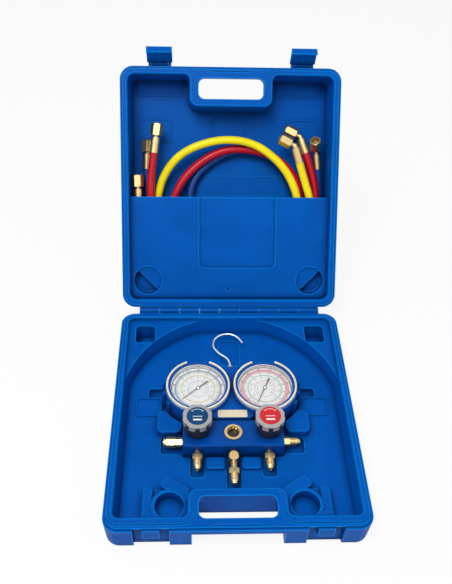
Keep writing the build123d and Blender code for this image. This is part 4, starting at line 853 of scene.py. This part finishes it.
class SetStage(bpy.types.Operator):
    """Builds the floor, the lights, the world and the camera"""
    bl_idname = "gaugeset.set_stage"
    bl_label = "Set stage"

    def execute(self, context):
        settings = context.scene.stage_settings
        self.lay_floor(tuple(settings.floor))
        self.hang_lights(context.scene)
        self.aim_camera(context.scene, settings.lens)
        context.scene.view_settings.view_transform = "Standard"
        return {"FINISHED"}

    def lay_floor(self, colour):
        """One flat sheet under the case, white to the eye and pale to the object."""
        finish = Finish("studio_floor", colour, 0.9)
        finish.bumped(finish.noise(60.0), 0.0002, 0.2)
        glow = finish.node("ShaderNodeEmission")
        glow.inputs["Color"].default_value = (1, 1, 1, 1)
        mix = finish.node("ShaderNodeMixShader")
        finish.link(finish.ranged(seen_or_mirrored(finish.tree), 0.0, 1.0, 0.0, FLOOR_GLOW), mix.inputs[0])
        finish.link(finish.shader.outputs[0], mix.inputs[1])
        finish.link(glow.outputs[0], mix.inputs[2])
        finish.link(mix.outputs[0], finish.tree.nodes["Material Output"].inputs["Surface"])
        corners = np.array([[-1, -1, 0], [1, -1, 0], [1, 1, 0], [-1, 1, 0]]) * FLOOR_REACH
        mesh = bpy.data.meshes.new("studio_floor")
        mesh.from_pydata(corners.tolist(), [], [(0, 1, 2, 3)])
        mesh.materials.append(finish.material)
        floor = bpy.data.objects.new("studio_floor", mesh)
        bpy.context.scene.collection.objects.link(floor)

    def hang_lights(self, scene):
        """Two soft panels, and a white room seen at full strength by the eye, in gloss and through glass."""
        for name, (place, size, power) in LAMPS.items():
            lamp = bpy.data.lights.new(name, "AREA")
            lamp.size, lamp.energy = size, power
            holder = bpy.data.objects.new(name, lamp)
            scene.collection.objects.link(holder)
            place = np.array(place)
            back = unit(place - np.array(LAMPS_AIM))
            side = unit(np.cross([0, 0, 1], back))
            set_place(holder, side, np.cross(back, side), back, place)
        world = bpy.data.worlds.new("studio_world")
        scene.world = world
        world.use_nodes = True
        tree = world.node_tree
        background = tree.nodes["Background"]
        background.inputs["Color"].default_value = (1, 1, 1, 1)
        strength = tree.nodes.new("ShaderNodeMath")
        strength.operation = "MULTIPLY_ADD"
        strength.inputs[1].default_value = ROOM_SEEN - ROOM_LIGHT
        strength.inputs[2].default_value = ROOM_LIGHT
        tree.links.new(seen_or_mirrored(tree), strength.inputs[0])
        tree.links.new(strength.outputs[0], background.inputs["Strength"])

    def aim_camera(self, scene, lens):
        """Looks along (sin yaw cos pitch, cos yaw cos pitch, -sin pitch), rolled a little."""
        camera = bpy.data.cameras.new("studio_camera")
        camera.sensor_fit, camera.sensor_height, camera.lens = "VERTICAL", SENSOR, lens
        camera.clip_start = 0.01
        holder = bpy.data.objects.new("studio_camera", camera)
        scene.collection.objects.link(holder)
        level = np.cos(CAMERA_PITCH)
        ahead = np.array([np.sin(CAMERA_YAW) * level, np.cos(CAMERA_YAW) * level, -np.sin(CAMERA_PITCH)])
        side = unit(np.cross(ahead, [0, 0, 1]))
        up = np.cross(side, ahead)
        c, s = np.cos(CAMERA_ROLL), np.sin(CAMERA_ROLL)
        set_place(holder, c * side + s * up, c * up - s * side, -ahead, CAMERA_AT)
        scene.camera = holder


class GaugeSetPanel(bpy.types.Panel):
    """Lists the steps that build and finish the set"""
    bl_idname = "VIEW3D_PT_gaugeset"
    bl_label = "Gauge set"
    bl_space_type = "VIEW_3D"
    bl_region_type = "UI"
    bl_category = "Gauge set"

    def draw(self, context):
        for step in STEPS:
            self.layout.operator(step.bl_idname)


STEPS = (LayHoses, DressCase, DressBrass, DressGauges, DressValves, SetStage)
SETTINGS = {"case_settings": CaseSettings, "hose_settings": HoseSettings, "brass_settings": BrassSettings,
            "gauge_settings": GaugeSettings, "valve_settings": ValveSettings, "stage_settings": StageSettings}


def register():
    """Registers the settings and the steps."""
    for name, group in SETTINGS.items():
        bpy.utils.register_class(group)
        setattr(bpy.types.Scene, name, PointerProperty(type=group))
    for step in (*STEPS, GaugeSetPanel):
        bpy.utils.register_class(step)


def unregister():
    """Undoes what register does."""
    for step in reversed((*STEPS, GaugeSetPanel)):
        bpy.utils.unregister_class(step)
    for name, group in SETTINGS.items():
        delattr(bpy.types.Scene, name)
        bpy.utils.unregister_class(group)


def main():
    """Runs every step in order."""
    register()
    for step in STEPS:
        group, name = step.bl_idname.split(".")
        getattr(getattr(bpy.ops, group), name)()


if __name__ == "__main__":
    main()
